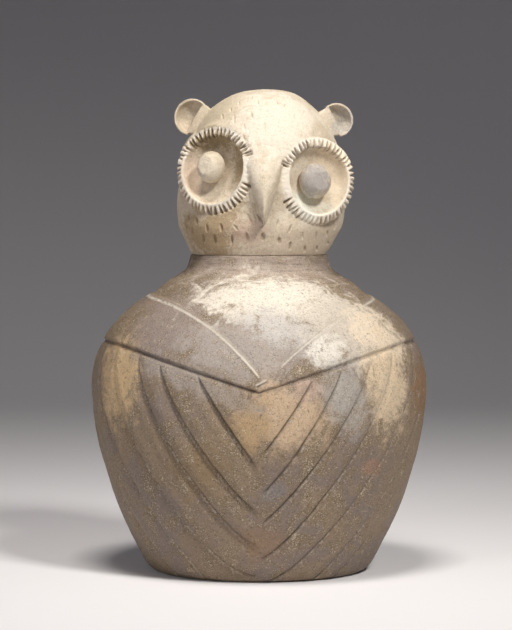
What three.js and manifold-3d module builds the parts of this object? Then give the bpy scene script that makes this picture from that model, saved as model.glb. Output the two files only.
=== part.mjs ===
// An owl-shaped pottery jar and its lid, hand-built in fired clay. The hollow jar is the owl's body:
// folded wings make a raised cape with a V at the breast, and flight feathers are cut below it in
// chevrons. The hollow lid is the owl's head, with cupped ears, a ridged beak and two dished eyes
// whose rims are notched all round and which each hold a clay ball.
// Millimetres, +Z up, the owl faces -Y. The origin is the centre of the jar's flat foot.
import * as THREE from "three";
import { mergeVertices } from "three/addons/utils/BufferGeometryUtils.js";
import Module from "manifold-3d";

const wasm = await Module();
wasm.setup();

// Driving dimensions of the jar.
const rimHeight = 328;
const rimRadius = 71.2;
const footRadius = 106;
const bellyRadius = 173.8;
const jarWall = 9;
const floorThickness = 12;
const jarSides = 44;
const jarRows = 14;
const jarCavitySides = 24;
const jarCavityRows = 8;

// Driving dimensions of the lid, which is the owl's head.
const seatGap = 0.3;
const headHeight = 171;
const cheekRadius = 87.4;
const headBaseRadius = 70;
const headLean = 6.2;
const lidWall = 8;
const headSides = 36;
const headRows = 10;
const headCavitySides = 20;
const headCavityRows = 6;

// The cape of folded wings: how far it stands proud, and where its two edges run.
const capeRise = 2.2;
const capeTopHeight = 289;
const capeTopDip = 76;
const capeTopDipBehind = 30;
const capeTopSpread = 25;
const capeHemHeight = 242;
const capeHemDip = 46;
const capeHemDipBehind = 20;
const capeHemSpread = 72;
const capeColumns = 40;
const capeRows = 3;
const capeRoot = 5;

// The flight feathers: each cut starts under the cape's hem at its own azimuth, in degrees from
// the breast, and sweeps down to its own height on the middle line. The cuts are spaced by hand.
const ownRight = {
  turn: -1,
  centre: 0,
  starts: [21, 36.5, 47, 62, 76, 92],
  heights: [118, 75, 40, 7, -43, -80],
  bends: [1.05, 1.4, 1.6, 2.0, 1.85, 2.0],
  depth: 3.2,
};
const ownLeft = {
  turn: 1,
  centre: 0,
  starts: [18, 29, 42, 54, 70, 82, 95],
  heights: [132, 93, 63, 26, 0, -30, -62],
  bends: [1.15, 1.3, 1.35, 1.5, 1.75, 2.05, 1.9],
  depth: 3.2,
};
// Nothing is known of the back, so it has the same chevrons, fewer and shallower.
const backSides = [-1, 1].map((turn) => ({
  turn,
  centre: 180,
  starts: [24, 46, 68],
  heights: [120, 40, -45],
  bends: [1.1, 1.5, 1.9],
  depth: 2.4,
}));
const cutWidth = 7.2;
const cutGapUnderHem = 7;
const cutGapAtMiddle = 1.2;
const cutStep = 32;
const cutLift = 5;
const cutSkew = 0.15;

// The eyes: a dish with a notched rim, and a ball on its floor. Yaw turns a dish outwards.
const rimTeeth = 40;
const eyeRadius = 45.5;
const rimWidth = 7.5;
const rimHeightOutside = 9;
const notchDepth = 3.3;
const notchInset = 1.4;
const bowlRadius = 34;
const bowlFloorRadius = 21.5;
const dishDepth = 12.4;
const dishSides = 20;
const ballRadius = 15;
const ballRise = 6;
const eyes = [
  { x: -46.5, y: -57, z: 415.5, yaw: -32, pitch: 2.4, ballX: -5, ballZ: 3.5 },
  { x: 58.5, y: -55.5, z: 402, yaw: 33, pitch: -3, ballX: -1.5, ballZ: 0.5 },
];

// The ears: shallow cups luted to the sides of the crown.
const earDepth = 15;
const earWall = 3.2;
const earSides = 16;
const earRows = 3;
const ears = [
  { x: -67, y: -10, z: 469.5, yaw: -28, pitch: 8, radius: 20 },
  { x: 77, y: -10, z: 466.5, yaw: 28, pitch: 8, radius: 19.4 },
];

const radians = THREE.MathUtils.degToRad;

// The jar's outside, from the edge of the foot up to the rim, as radius and height.
const jarStations = [
  [footRadius + 5.5, 2.2],
  [121.5, 16],
  [138, 46.5],
  [160.5, 108],
  [bellyRadius, 182],
  [164.5, 233],
  [138.5, 267.5],
  [101.5, 295],
  [78, 311],
  [72.8, 318.5],
  [rimRadius, rimHeight],
];
const jarCurve = curveThrough(jarStations);

// The head's outside, from its base up to just short of the crown.
const headBase = rimHeight + seatGap;
const headStations = [
  [headBaseRadius, 0],
  [78.5, 16.5],
  [85, 30],
  [cheekRadius, 50],
  [83.8, 83],
  [77.6, 113],
  [62.5, 143],
  [34, 165],
];
const headCurve = curveThrough(headStations.map(([r, h]) => [r, headBase + h]));
const crown = new THREE.Vector2(0, headBase + headHeight);
const crownRing = new THREE.Vector2(17, crown.y - 1.6);

// A smooth 2-D curve through [radius, height] stations.
function curveThrough(stations) {
  return new THREE.SplineCurve(stations.map(([r, h]) => new THREE.Vector2(r, h)));
}

// The outline moved inwards, square to itself, by a wall's thickness.
function insetOutline(curve, steps, wall) {
  const points = [];
  for (let i = 0; i <= steps; i++) {
    const along = curve.getTangent(i / steps);
    const inwards = new THREE.Vector2(-along.y, along.x);
    points.push(curve.getPoint(i / steps).addScaledVector(inwards, wall));
  }
  return points;
}

// The radius of the jar's plain outside at a height.
const jarSamples = jarCurve.getPoints(240);
function jarRadiusAt(height) {
  if (height <= jarSamples[0].y) return jarSamples[0].x;
  const above = jarSamples.findIndex((p) => p.y >= height);
  if (above < 0) return rimRadius;
  const low = jarSamples[above - 1];
  const high = jarSamples[above];
  return THREE.MathUtils.mapLinear(height, low.y, high.y, low.x, high.x);
}

// A point on a surface of revolution: azimuth in degrees from the front, anticlockwise seen from above.
function around(azimuth, radius, height) {
  const a = radians(azimuth);
  return new THREE.Vector3(radius * Math.sin(a), -radius * Math.cos(a), height);
}

// A closed three.js geometry as a solid, whichever way its faces were wound.
function solidFrom(geometry) {
  const bare = geometry.clone();
  bare.deleteAttribute("normal");
  bare.deleteAttribute("uv");
  const merged = mergeVertices(bare, 1e-4);
  const index = merged.index.array;
  const faces = [];
  for (let i = 0; i < index.length; i += 3) {
    const [a, b, c] = [index[i], index[i + 1], index[i + 2]];
    if (a !== b && b !== c && c !== a) faces.push([a, b, c]);
  }
  const vertProperties = new Float32Array(merged.attributes.position.array);
  const wound = (reversed) => {
    const triVerts = new Uint32Array(faces.flatMap(([a, b, c]) => (reversed ? [a, c, b] : [a, b, c])));
    return new wasm.Manifold(new wasm.Mesh({ numProp: 3, vertProperties, triVerts }));
  };
  const solid = wound(false);
  return solid.volume() > 0 ? solid : wound(true);
}

// A profile turned about +Z into a solid. The profile starts and ends on the axis or closes on itself.
function turned(profile, sides) {
  return new THREE.LatheGeometry(profile, sides).rotateX(Math.PI / 2);
}

// Rings of points joined one to the next and closed by a fan at each end. Where two rings differ in
// size, each step of the coarser one takes the same whole number of steps of the finer one.
function loft(rings) {
  const middles = [rings[0], rings.at(-1)].map((ring) =>
    ring.reduce((sum, p) => sum.add(p), new THREE.Vector3()).divideScalar(ring.length),
  );
  const points = [...rings.flat(), ...middles];
  const faces = [];
  let below = 0;
  for (let i = 0; i + 1 < rings.length; i++) {
    const above = below + rings[i].length;
    joinRings(faces, below, rings[i].length, above, rings[i + 1].length);
    below = above;
  }
  closeRing(faces, 0, rings[0].length, points.length - 2, true);
  closeRing(faces, below, rings.at(-1).length, points.length - 1, false);
  const geometry = new THREE.BufferGeometry().setFromPoints(points);
  geometry.setIndex(faces);
  return geometry;
}

// The faces between two rings of points that start at the same angle.
function joinRings(faces, below, belowSize, above, aboveSize) {
  const steps = Math.min(belowSize, aboveSize);
  const [lowRatio, highRatio] = [belowSize / steps, aboveSize / steps];
  for (let j = 0; j < steps; j++) {
    const low = (k) => below + ((j * lowRatio + k) % belowSize);
    const high = (k) => above + ((j * highRatio + k) % aboveSize);
    const [lowHalf, highHalf] = [Math.ceil(lowRatio / 2), Math.ceil(highRatio / 2)];
    for (let k = 0; k < lowHalf; k++) faces.push(high(0), low(k), low(k + 1));
    for (let k = 0; k < highHalf; k++) faces.push(low(lowHalf), high(k + 1), high(k));
    for (let k = lowHalf; k < lowRatio; k++) faces.push(high(highHalf), low(k), low(k + 1));
    for (let k = highHalf; k < highRatio; k++) faces.push(low(lowRatio), high(k + 1), high(k));
  }
}

// The fan that closes a ring onto its middle point.
function closeRing(faces, start, size, middle, facesDown) {
  for (let j = 0; j < size; j++) {
    const [here, next] = [start + j, start + ((j + 1) % size)];
    faces.push(middle, facesDown ? next : here, facesDown ? here : next);
  }
}

// The height of the cape's upper edge, which dips in a V at the breast and a slighter one behind.
function capeTop(azimuth) {
  const fromFront = Math.abs(azimuth);
  const front = capeTopDip * Math.exp(-fromFront / capeTopSpread);
  const behind = capeTopDipBehind * Math.exp(-(180 - fromFront) / capeTopSpread);
  return capeTopHeight - front - behind;
}

// The height of the cape's hem.
function capeHem(azimuth) {
  const fromFront = Math.abs(azimuth);
  const rise = (angle) => Math.sin((Math.min(angle, capeHemSpread) / capeHemSpread) * (Math.PI / 2));
  const front = capeHemDip * (1 - rise(fromFront));
  const behind = capeHemDipBehind * (1 - rise(180 - fromFront));
  return capeHemHeight - front - behind;
}

// The cape: a band that wraps the shoulders, its section running between the two edges. Its columns
// stand closer together at the breast, where the V is sharpest.
function capeSolid() {
  const sections = [];
  for (let i = 0; i < capeColumns; i++) {
    const turn = (2 * i) / capeColumns - 1;
    const azimuth = 180 * Math.sign(turn) * Math.abs(turn) ** 1.3;
    const [hem, top] = [capeHem(azimuth), capeTop(azimuth)];
    const outside = [];
    const inside = [];
    for (let j = 0; j <= capeRows; j++) {
      const height = THREE.MathUtils.lerp(hem, top, j / capeRows);
      outside.push(around(azimuth, jarRadiusAt(height) + capeRise, height));
      inside.unshift(around(azimuth, jarRadiusAt(height) - capeRoot, height));
    }
    sections.push([...outside, ...inside]);
  }
  return solidFrom(hoop(sections));
}

// Sections joined one to the next all the way round, back to the first.
function hoop(sections) {
  const size = sections[0].length;
  const count = sections.length;
  const faces = [];
  for (let i = 0; i < count; i++) {
    const here = i * size;
    const there = ((i + 1) % count) * size;
    for (let j = 0; j < size; j++) {
      const next = (j + 1) % size;
      faces.push(here + j, there + j, here + next, here + next, there + j, there + next);
    }
  }
  const geometry = new THREE.BufferGeometry().setFromPoints(sections.flat());
  geometry.setIndex(faces);
  return geometry;
}

// The line that one feather's cut follows on the jar's wall, from the middle up to the cape.
function featherLine(side, k) {
  const start = side.starts[k];
  const middleHeight = side.heights[k];
  const topHeight = capeHem(side.centre - start) - cutGapUnderHem;
  const points = [];
  for (let angle = cutGapAtMiddle; angle <= start; angle += 1) {
    const height = middleHeight + (topHeight - middleHeight) * (angle / start) ** side.bends[k];
    const azimuth = side.centre + side.turn * angle;
    if (height > -cutWidth) points.push(around(azimuth, jarRadiusAt(height), height));
  }
  return new THREE.CatmullRomCurve3(points);
}

// The tool that cuts one feather line: a V section, steeper on its upper side, that runs out at its ends.
function featherCutter(side, k) {
  const line = featherLine(side, k);
  const steps = Math.ceil(line.getLength() / cutStep);
  const halfWidth = (cutWidth / 2) * (1 + cutLift / side.depth);
  const sections = [];
  for (let i = 0; i <= steps; i++) {
    const centre = line.getPointAt(i / steps);
    const outwards = new THREE.Vector3(centre.x, centre.y, 0).normalize();
    const across = new THREE.Vector3().crossVectors(outwards, line.getTangentAt(i / steps)).normalize();
    const swell = Math.sqrt(Math.sin(Math.PI * THREE.MathUtils.lerp(0.06, 0.94, i / steps)));
    const point = (sideways, out) =>
      centre.clone().addScaledVector(across, sideways * swell).addScaledVector(outwards, out);
    sections.push([
      point(-halfWidth, cutLift),
      point(halfWidth, cutLift),
      point(cutSkew * side.turn * cutWidth, -side.depth * swell),
    ]);
  }
  return solidFrom(loft(sections));
}

function jarSolid() {
  const outside = [
    new THREE.Vector2(0, 0),
    new THREE.Vector2(footRadius, 0),
    ...jarCurve.getPoints(jarRows),
    new THREE.Vector2(0, rimHeight),
  ];
  const inset = insetOutline(jarCurve, jarCavityRows, jarWall).filter((p) => p.y > floorThickness + 4);
  const mouth = inset.at(-1).x;
  const cavity = [
    new THREE.Vector2(0, floorThickness),
    new THREE.Vector2(inset[0].x - 6, floorThickness),
    ...inset,
    new THREE.Vector2(mouth, rimHeight + 5),
    new THREE.Vector2(0, rimHeight + 5),
  ];
  let jar = solidFrom(turned(outside, jarSides)).add(capeSolid());
  for (const side of [ownRight, ownLeft, ...backSides]) {
    side.starts.forEach((_, k) => {
      jar = jar.subtract(featherCutter(side, k));
    });
  }
  return jar.subtract(solidFrom(turned(cavity, jarCavitySides)));
}

// Leans the upright head: the crown moves sideways and the base stays where it is.
function lean(geometry) {
  const slope = headLean / headHeight;
  const shear = new THREE.Matrix4().makeShear(0, 0, 0, 0, slope, 0);
  return geometry.applyMatrix4(shear).translate(-headBase * slope, 0, 0);
}

// Stands a shape made about +Z at a place, with +Z turned to face yaw degrees from the front and
// pitch degrees upwards.
function faceOutwards(geometry, { x, y, z, yaw, pitch }) {
  geometry.rotateX(radians(90 - pitch));
  geometry.rotateZ(radians(yaw));
  return geometry.translate(x, y, z);
}

const profileFrom = (pairs) => pairs.map(([r, h]) => new THREE.Vector2(r, h));

// The space in front of a dish, cleared out of the head's wall before the dish goes in.
function dishClearance(eye) {
  const space = profileFrom([
    [0, -dishDepth - lidWall / 2],
    [eyeRadius - 5, -rimHeightOutside + 3],
    [eyeRadius - 3, 0],
    [eyeRadius + 6, eyeRadius],
    [0, eyeRadius],
  ]);
  return solidFrom(faceOutwards(turned(space, dishSides), eye));
}

// The dish: a saucer of even thickness in one piece with its rim, which has a notch between each pair
// of teeth. The rings run from the middle of the back, round the rim, to the middle of the bowl.
function dishSolid(eye) {
  const ring = (count, place) =>
    Array.from({ length: count }, (_, i) => {
      const [radius, height] = place(i % 2 === 1);
      const angle = (2 * Math.PI * i) / count;
      return new THREE.Vector3(radius * Math.cos(angle), radius * Math.sin(angle), height);
    });
  const rings = [
    ring(dishSides, () => [bowlFloorRadius + lidWall / 2, -dishDepth - lidWall]),
    ring(dishSides, () => [bowlRadius + lidWall / 2, -rimHeightOutside * 2]),
    ring(rimTeeth * 2, () => [eyeRadius, -rimHeightOutside]),
    ring(rimTeeth * 2, (notch) => (notch ? [eyeRadius - notchInset, -notchDepth] : [eyeRadius, 0])),
    ring(rimTeeth * 2, (notch) => [eyeRadius - rimWidth, notch ? -notchDepth - 1 : -1]),
    ring(dishSides, () => [bowlRadius, -dishDepth * 0.6]),
    ring(dishSides, () => [bowlFloorRadius, -dishDepth]),
  ];
  return solidFrom(faceOutwards(loft(rings), eye));
}

function ballSolid(eye) {
  const ball = new THREE.SphereGeometry(ballRadius, 14, 9);
  ball.translate(eye.ballX, eye.ballZ, -ballRise);
  return solidFrom(faceOutwards(ball, eye));
}

// The beak: sections from the brow down to the tip, each a ridge rooted in the head.
function beakSolid() {
  const sections = [
    { height: 442, width: 24, rise: -3, x: 7.5 },
    { height: 428, width: 31, rise: 2.5, x: 7 },
    { height: 414, width: 35, rise: 6.5, x: 6 },
    { height: 401, width: 33, rise: 10, x: 5.5 },
    { height: 388, width: 25, rise: 13, x: 5.2 },
    { height: 375, width: 16, rise: 14, x: 5 },
    { height: 364, width: 7.5, rise: 12, x: 4.8 },
    { height: 358.5, width: 3, rise: 7.5, x: 4.8 },
  ];
  const rooted = 9;
  const rings = sections.map(({ height, width, rise, x }) => {
    const face = headRadiusAt(height);
    const surface = (side) => -Math.sqrt(face ** 2 - (side * width) ** 2);
    const point = (side, out) => new THREE.Vector3(x + side * width, surface(side) - out, height);
    return [
      point(-0.5, -rooted),
      point(-0.5, 0),
      point(-0.17, rise * 0.78),
      point(0, rise),
      point(0.17, rise * 0.78),
      point(0.5, 0),
      point(0.5, -rooted),
    ];
  });
  return solidFrom(loft(rings));
}

const headSamples = headCurve.getPoints(200);
function headRadiusAt(height) {
  const above = headSamples.findIndex((p) => p.y >= height);
  return headSamples[above].x;
}

// An ear: a cup with a thin edge, its back sunk in the crown.
function earSolid(ear) {
  const bowl = (radius, depth) =>
    new THREE.EllipseCurve(0, 0, radius, depth, -Math.PI / 2, 0).getPoints(earRows);
  const outside = bowl(ear.radius, earDepth);
  const inside = bowl(ear.radius - earWall, earDepth - earWall).reverse();
  return solidFrom(faceOutwards(turned([...outside, ...inside], earSides), ear));
}

function headSolid() {
  const base = new THREE.Vector2(0, headBase);
  const outside = [base, ...headCurve.getPoints(headRows), crownRing, crown];
  const inset = insetOutline(headCurve, headCavityRows, lidWall);
  const within = new THREE.Vector2(0, crown.y - lidWall);
  const cavity = [
    new THREE.Vector2(0, headBase - 5),
    new THREE.Vector2(headBaseRadius - lidWall, headBase - 5),
    new THREE.Vector2(headBaseRadius - lidWall, headBase),
    ...inset.slice(1),
    within,
  ];
  const hollow = solidFrom(lean(turned(cavity, headCavitySides)));
  let head = solidFrom(lean(turned(outside, headSides))).subtract(hollow);
  for (const eye of eyes) {
    head = head.subtract(dishClearance(eye)).add(dishSolid(eye)).add(ballSolid(eye));
  }
  head = head.add(beakSolid().subtract(hollow));
  for (const ear of ears) head = head.add(earSolid(ear).subtract(hollow));
  return head;
}

// A solid as a named mesh in its own fired-clay colour.
function clayPiece(name, solid, color, roughness) {
  const { vertProperties, triVerts } = solid.getMesh();
  const geometry = new THREE.BufferGeometry();
  geometry.setAttribute("position", new THREE.BufferAttribute(vertProperties, 3));
  geometry.setIndex(new THREE.BufferAttribute(triVerts, 1));
  geometry.computeVertexNormals();
  const material = new THREE.MeshStandardMaterial({ color, roughness, metalness: 0 });
  const mesh = new THREE.Mesh(geometry, material);
  mesh.name = name;
  return mesh;
}

const owlJar = new THREE.Group();
owlJar.add(clayPiece("jar", jarSolid(), 0x8d7a68, 0.8));
owlJar.add(clayPiece("owl_head_lid", headSolid(), 0xcdbfa6, 0.85));

export default owlJar;
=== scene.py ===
"""The looks of a hand-built pottery jar in the shape of an owl, with its lid, the owl's head.

Both pieces are fired clay. The jar is a slab-built vessel with carved wings and feathers, and the
head is a modelled lid with cupped ears, a ridged beak and two dished eyes. Lengths are in
millimetres until a mesh is made, +Z is up and the owl faces -Y.
"""

import logging
import math
from contextlib import contextmanager
from dataclasses import dataclass
from enum import Enum
from typing import Any, Callable, Iterator, Sequence

import bpy
import numpy as np
from mathutils import Euler, Matrix, Vector


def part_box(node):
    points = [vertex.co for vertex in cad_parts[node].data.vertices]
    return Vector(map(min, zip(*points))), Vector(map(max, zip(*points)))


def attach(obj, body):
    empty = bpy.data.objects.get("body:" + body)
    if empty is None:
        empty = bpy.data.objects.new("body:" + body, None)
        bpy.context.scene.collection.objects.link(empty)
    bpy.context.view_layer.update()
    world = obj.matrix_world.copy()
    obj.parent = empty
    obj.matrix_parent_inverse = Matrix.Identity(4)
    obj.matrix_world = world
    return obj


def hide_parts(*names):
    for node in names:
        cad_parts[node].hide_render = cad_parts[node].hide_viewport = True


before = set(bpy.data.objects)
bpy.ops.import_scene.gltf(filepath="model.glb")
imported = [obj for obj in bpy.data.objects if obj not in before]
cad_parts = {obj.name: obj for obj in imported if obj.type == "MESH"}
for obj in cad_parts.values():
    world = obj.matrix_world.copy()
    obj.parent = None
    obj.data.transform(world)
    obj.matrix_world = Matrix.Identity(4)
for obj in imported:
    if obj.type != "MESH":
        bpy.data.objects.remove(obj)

MM = 0.001
log = logging.getLogger("owl_jar")
Pair = tuple[float, float]
Triple = tuple[float, float, float]
Swells = tuple[tuple[float, float, int], ...]
Piece = bpy.types.Object
Tree = bpy.types.NodeTree
Socket = bpy.types.NodeSocket
Patterns = dict[str, bpy.types.NodeSocket]


class Side(Enum):
    """A side of the owl, as the viewer who faces it sees it."""

    LEFT = -1
    RIGHT = 1


class Wall(Enum):
    """The stretches of the jar's outside, from its foot up."""

    FEATHERS = 0
    CAPE = 1
    SHOULDER = 2


# Small tools for numbers.


def smooth_step(low: float, high: float, value: np.ndarray) -> np.ndarray:
    """A smooth rise from 0 to 1.

    Args:
        low: Where the rise starts.
        high: Where it ends, which may be below low.
        value: The values to rise along.

    Returns:
        A number from 0 to 1 for each value.
    """
    share = np.clip((value - low) / (high - low), 0.0, 1.0)
    return share * share * (3.0 - 2.0 * share)


def hump(distance: np.ndarray, width: float) -> np.ndarray:
    """A bell curve of height 1 whose flanks are about width from its middle."""
    return np.exp(-((distance / width) ** 2))


def wrapped(turn: np.ndarray) -> np.ndarray:
    """A turn in degrees as one from -180 to 180."""
    return (turn + 180.0) % 360.0 - 180.0


def per_degree(radius: np.ndarray) -> np.ndarray:
    """How far round the axis one degree reaches at a radius."""
    return radius * math.pi / 180.0


def through(stations: Sequence[Pair], steps: int) -> np.ndarray:
    """A smooth outline through stations.

    Args:
        stations: Pairs of radius and height, in order.
        steps: How many stretches to divide each span between two stations into.

    Returns:
        The outline's points, one row each.
    """
    knots = np.array([stations[0], *stations, stations[-1]], dtype=float)
    shares = np.linspace(0.0, 1.0, steps, endpoint=False)[:, None]
    spans = []
    for before, start, end, after in zip(knots, knots[1:], knots[2:], knots[3:]):
        spans.append(
            0.5 * (2 * start + (end - before) * shares
                   + (2 * before - 5 * start + 4 * end - after) * shares**2
                   + (3 * start - before - 3 * end + after) * shares**3)
        )
    return np.vstack([*spans, knots[-1:]])


@dataclass
class Outline:
    """A profile with its length measured along it.

    Args:
        points: Rows of radius and height.
    """

    points: np.ndarray

    def __post_init__(self) -> None:
        """Measures the outline."""
        steps = np.linalg.norm(np.diff(self.points, axis=0), axis=1)
        self.lengths = np.concatenate([[0.0], np.cumsum(steps)])

    @property
    def length(self) -> float:
        """The outline's whole length."""
        return float(self.lengths[-1])

    def at(self, along: np.ndarray) -> tuple[np.ndarray, np.ndarray]:
        """The radius and height at lengths along the outline.

        Args:
            along: Lengths from the outline's start.

        Returns:
            The radii and the heights.
        """
        radius = np.interp(along, self.lengths, self.points[:, 0])
        height = np.interp(along, self.lengths, self.points[:, 1])
        return radius, height

    def outwards(self, along: np.ndarray) -> tuple[np.ndarray, np.ndarray]:
        """The outward direction, across the outline, at lengths along it.

        Args:
            along: Lengths from the outline's start.

        Returns:
            The direction's parts along the radius and along the height.
        """
        reach = 1.5
        r_before, z_before = self.at(along - reach)
        r_after, z_after = self.at(along + reach)
        run = np.maximum(np.hypot(r_after - r_before, z_after - z_before), 1e-6)
        return (z_after - z_before) / run, (r_before - r_after) / run

    def along_at_height(self, height: np.ndarray) -> np.ndarray:
        """How far along the outline a height is, where the outline only climbs."""
        return np.interp(height, self.points[:, 1], self.lengths)

    def inset(self, wall: float) -> np.ndarray:
        """The outline's points moved inwards by a wall's thickness."""
        out_r, out_z = self.outwards(self.lengths)
        return self.points - wall * np.stack([out_r, out_z], axis=1)


# Small tools for meshes.


def pick(piece: Piece) -> None:
    """Makes a piece the only selected and active object.

    Args:
        piece: A mesh object.
    """
    for other in bpy.context.selected_objects:
        other.select_set(False)
    piece.select_set(True)
    bpy.context.view_layer.objects.active = piece


@contextmanager
def editing(piece: Piece, action: str = "SELECT") -> Iterator[None]:
    """Opens a piece in edit mode, and closes it again.

    Args:
        piece: A mesh object.
        action: What select_all does to it first.
    """
    pick(piece)
    bpy.ops.object.mode_set(mode="EDIT")
    bpy.ops.mesh.select_all(action=action)
    yield
    bpy.ops.object.mode_set(mode="OBJECT")


def points_of(piece: Piece) -> np.ndarray:
    """Reads a piece's points, in millimetres and one row each.

    Args:
        piece: A mesh object.

    Returns:
        The points.
    """
    flat = np.empty(len(piece.data.vertices) * 3)
    piece.data.vertices.foreach_get("co", flat)
    return flat.reshape(-1, 3) / MM


def move_points(piece: Piece, points: np.ndarray) -> None:
    """Moves the piece's points to new places in millimetres."""
    piece.data.vertices.foreach_set("co", (points * MM).ravel())
    piece.data.update()


def outward_of(piece: Piece) -> np.ndarray:
    """The outward direction at each of the piece's points.

    Args:
        piece: A mesh object.

    Returns:
        The directions, one row each.
    """
    flat = np.empty(len(piece.data.vertices) * 3)
    piece.data.vertices.foreach_get("normal", flat)
    return flat.reshape(-1, 3)


def store(piece: Piece, name: str, values: np.ndarray) -> None:
    """Stores a number at each of the piece's points, for its finish to read."""
    layer = piece.data.attributes.new(name, "FLOAT", "POINT")
    layer.data.foreach_set("value", values.astype(np.float32))


def close_up(piece: Piece, gap: float = 0.01) -> None:
    """Merges points that meet and turns every face outwards.

    Args:
        piece: A mesh object.
        gap: The distance in millimetres under which two points are one.
    """
    with editing(piece):
        bpy.ops.mesh.remove_doubles(threshold=gap * MM)
        bpy.ops.mesh.normals_make_consistent(inside=False)


def slice_off(piece: Piece, point: Triple, beyond: Triple) -> None:
    """Cuts a piece flat and closes the cut.

    Args:
        piece: A mesh object.
        point: A point on the cut, in millimetres.
        beyond: The direction from the cut to what is thrown away.
    """
    with editing(piece):
        bpy.ops.mesh.bisect(plane_co=[v * MM for v in point], plane_no=beyond, use_fill=True,
                            clear_outer=True)


def refine(piece: Piece, kind: str, **settings: Any) -> None:
    """Adds a modifier to a piece and applies it.

    Args:
        piece: A mesh object.
        kind: The modifier's type.
        **settings: The modifier's own settings.
    """
    pick(piece)
    modifier = piece.modifiers.new(kind.title(), kind)
    for name, value in settings.items():
        setattr(modifier, name, value)
    bpy.ops.object.modifier_apply(modifier=modifier.name)


def thin_out(piece: Piece, triangles: int) -> None:
    """Merges faces where the surface is plain, until a piece has few enough triangles.

    Args:
        piece: A mesh object.
        triangles: The most triangles that it may have.
    """
    have = sum(len(face.vertices) - 2 for face in piece.data.polygons)
    if have > triangles:
        refine(piece, "DECIMATE", ratio=triangles / have)
    log.info("%s: %d triangles, from %d", piece.name, min(triangles, have), have)


def roughen(piece: Piece, size: float, height: float, depth: int = 2) -> None:
    """Gives a surface the unevenness of a hand-built one.

    Args:
        piece: A mesh object.
        size: How far apart its swells are, in millimetres.
        height: How far they stand out, in millimetres.
        depth: How many finer layers of swells there are.
    """
    swells = bpy.data.textures.new(f"{piece.name}_swells", "CLOUDS")
    swells.noise_scale = size * MM
    swells.noise_depth = depth
    refine(piece, "DISPLACE", texture=swells, texture_coords="LOCAL", mid_level=0.5,
           strength=height * MM)


def drawn_line(name: str, points: np.ndarray) -> Piece:
    """An open line of edges.

    Args:
        name: The new object's name.
        points: The line's points in millimetres, one row each.

    Returns:
        The new object, with edges and no faces.
    """
    bpy.ops.mesh.primitive_circle_add(vertices=len(points), radius=MM)
    line = bpy.context.object
    line.name = name
    ends = np.zeros(len(points), dtype=bool)
    ends[[0, -1]] = True
    with editing(line, "DESELECT"):
        bpy.ops.mesh.select_mode(type="VERT")
    line.data.vertices.foreach_set("select", ends)
    bpy.ops.object.mode_set(mode="EDIT")
    bpy.ops.mesh.delete(type="EDGE")
    bpy.ops.object.mode_set(mode="OBJECT")
    move_points(line, points)
    return line


def turned_form(name: str, outline: np.ndarray, columns: int, finer: int = 0) -> Piece:
    """A closed form turned about the axis, as on a wheel.

    Args:
        name: The new object's name.
        outline: Rows of radius and height, from the axis back to the axis.
        columns: How many faces it has round the axis.
        finer: How often each of its faces is then cut in four.

    Returns:
        The new object, closed and facing outwards.
    """
    radius, height = np.asarray(outline).T
    form = drawn_line(name, np.stack([np.zeros_like(radius), radius, height], axis=1))
    with editing(form):
        bpy.ops.mesh.spin(steps=columns, angle=2.0 * math.pi, center=(0.0, 0.0, 0.0),
                          axis=(0.0, 0.0, 1.0))
    close_up(form)
    if finer:
        refine(form, "SUBSURF", subdivision_type="SIMPLE", levels=finer, render_levels=finer)
    return form


def lofted_form(name: str, rings: Sequence[np.ndarray]) -> Piece:
    """A closed form through rings of points.

    Args:
        name: The new object's name.
        rings: Rings of equally many points, in order, closed at both ends by a flat face.

    Returns:
        The new object, closed and facing outwards.
    """
    around = len(rings[0])
    bpy.ops.mesh.primitive_cylinder_add(vertices=around, radius=MM, depth=MM, end_fill_type="NGON")
    form = bpy.context.object
    form.name = name
    with editing(form, "DESELECT"):
        bpy.ops.mesh.select_mode(type="FACE")
    for face in form.data.polygons:
        face.select = face.normal.z > 0.5
    bpy.ops.object.mode_set(mode="EDIT")
    for _ in rings[2:]:
        bpy.ops.mesh.extrude_region_move(TRANSFORM_OT_translate={"value": (0.0, 0.0, MM)})
    bpy.ops.object.mode_set(mode="OBJECT")
    flat = points_of(form)
    level = np.rint(flat[:, 2] + 0.5).astype(int)
    turn = np.rint(np.arctan2(flat[:, 1], flat[:, 0]) / (2 * math.pi) * around).astype(int) % around
    move_points(form, np.array(rings)[level, turn])
    close_up(form)
    return form


def place(piece: Piece, where: Matrix) -> None:
    """Puts a form where it belongs, by its points, so that its object stays at the origin."""
    piece.data.transform(where)
    piece.data.update()


def cut_away(piece: Piece, tool: Piece) -> None:
    """Cuts one closed form out of another, and throws the tool away."""
    refine(piece, "BOOLEAN", operation="DIFFERENCE", solver="EXACT", object=tool)
    bpy.data.objects.remove(tool)


def join_forms(forms: Sequence[Piece], name: str) -> Piece:
    """Joins forms into one object, still as separate shells.

    Args:
        forms: The objects to join.
        name: The name of the whole.

    Returns:
        The first form's object, which now holds them all.
    """
    pick(forms[0])
    for form in forms[1:]:
        form.select_set(True)
    bpy.ops.object.join()
    forms[0].name = name
    return forms[0]


# The jar.


@dataclass(frozen=True)
class Ridge:
    """A ridge or a stroke of wear that runs along a line.

    Args:
        height: How high or strong it is in its middle.
        place: How far its middle is above the line.
        width: How far its flanks are from its middle.
    """

    height: float
    place: float
    width: float

    def at(self, off: np.ndarray) -> np.ndarray:
        """Its height at distances above the line."""
        return self.height * hump(off - self.place, self.width)


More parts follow.
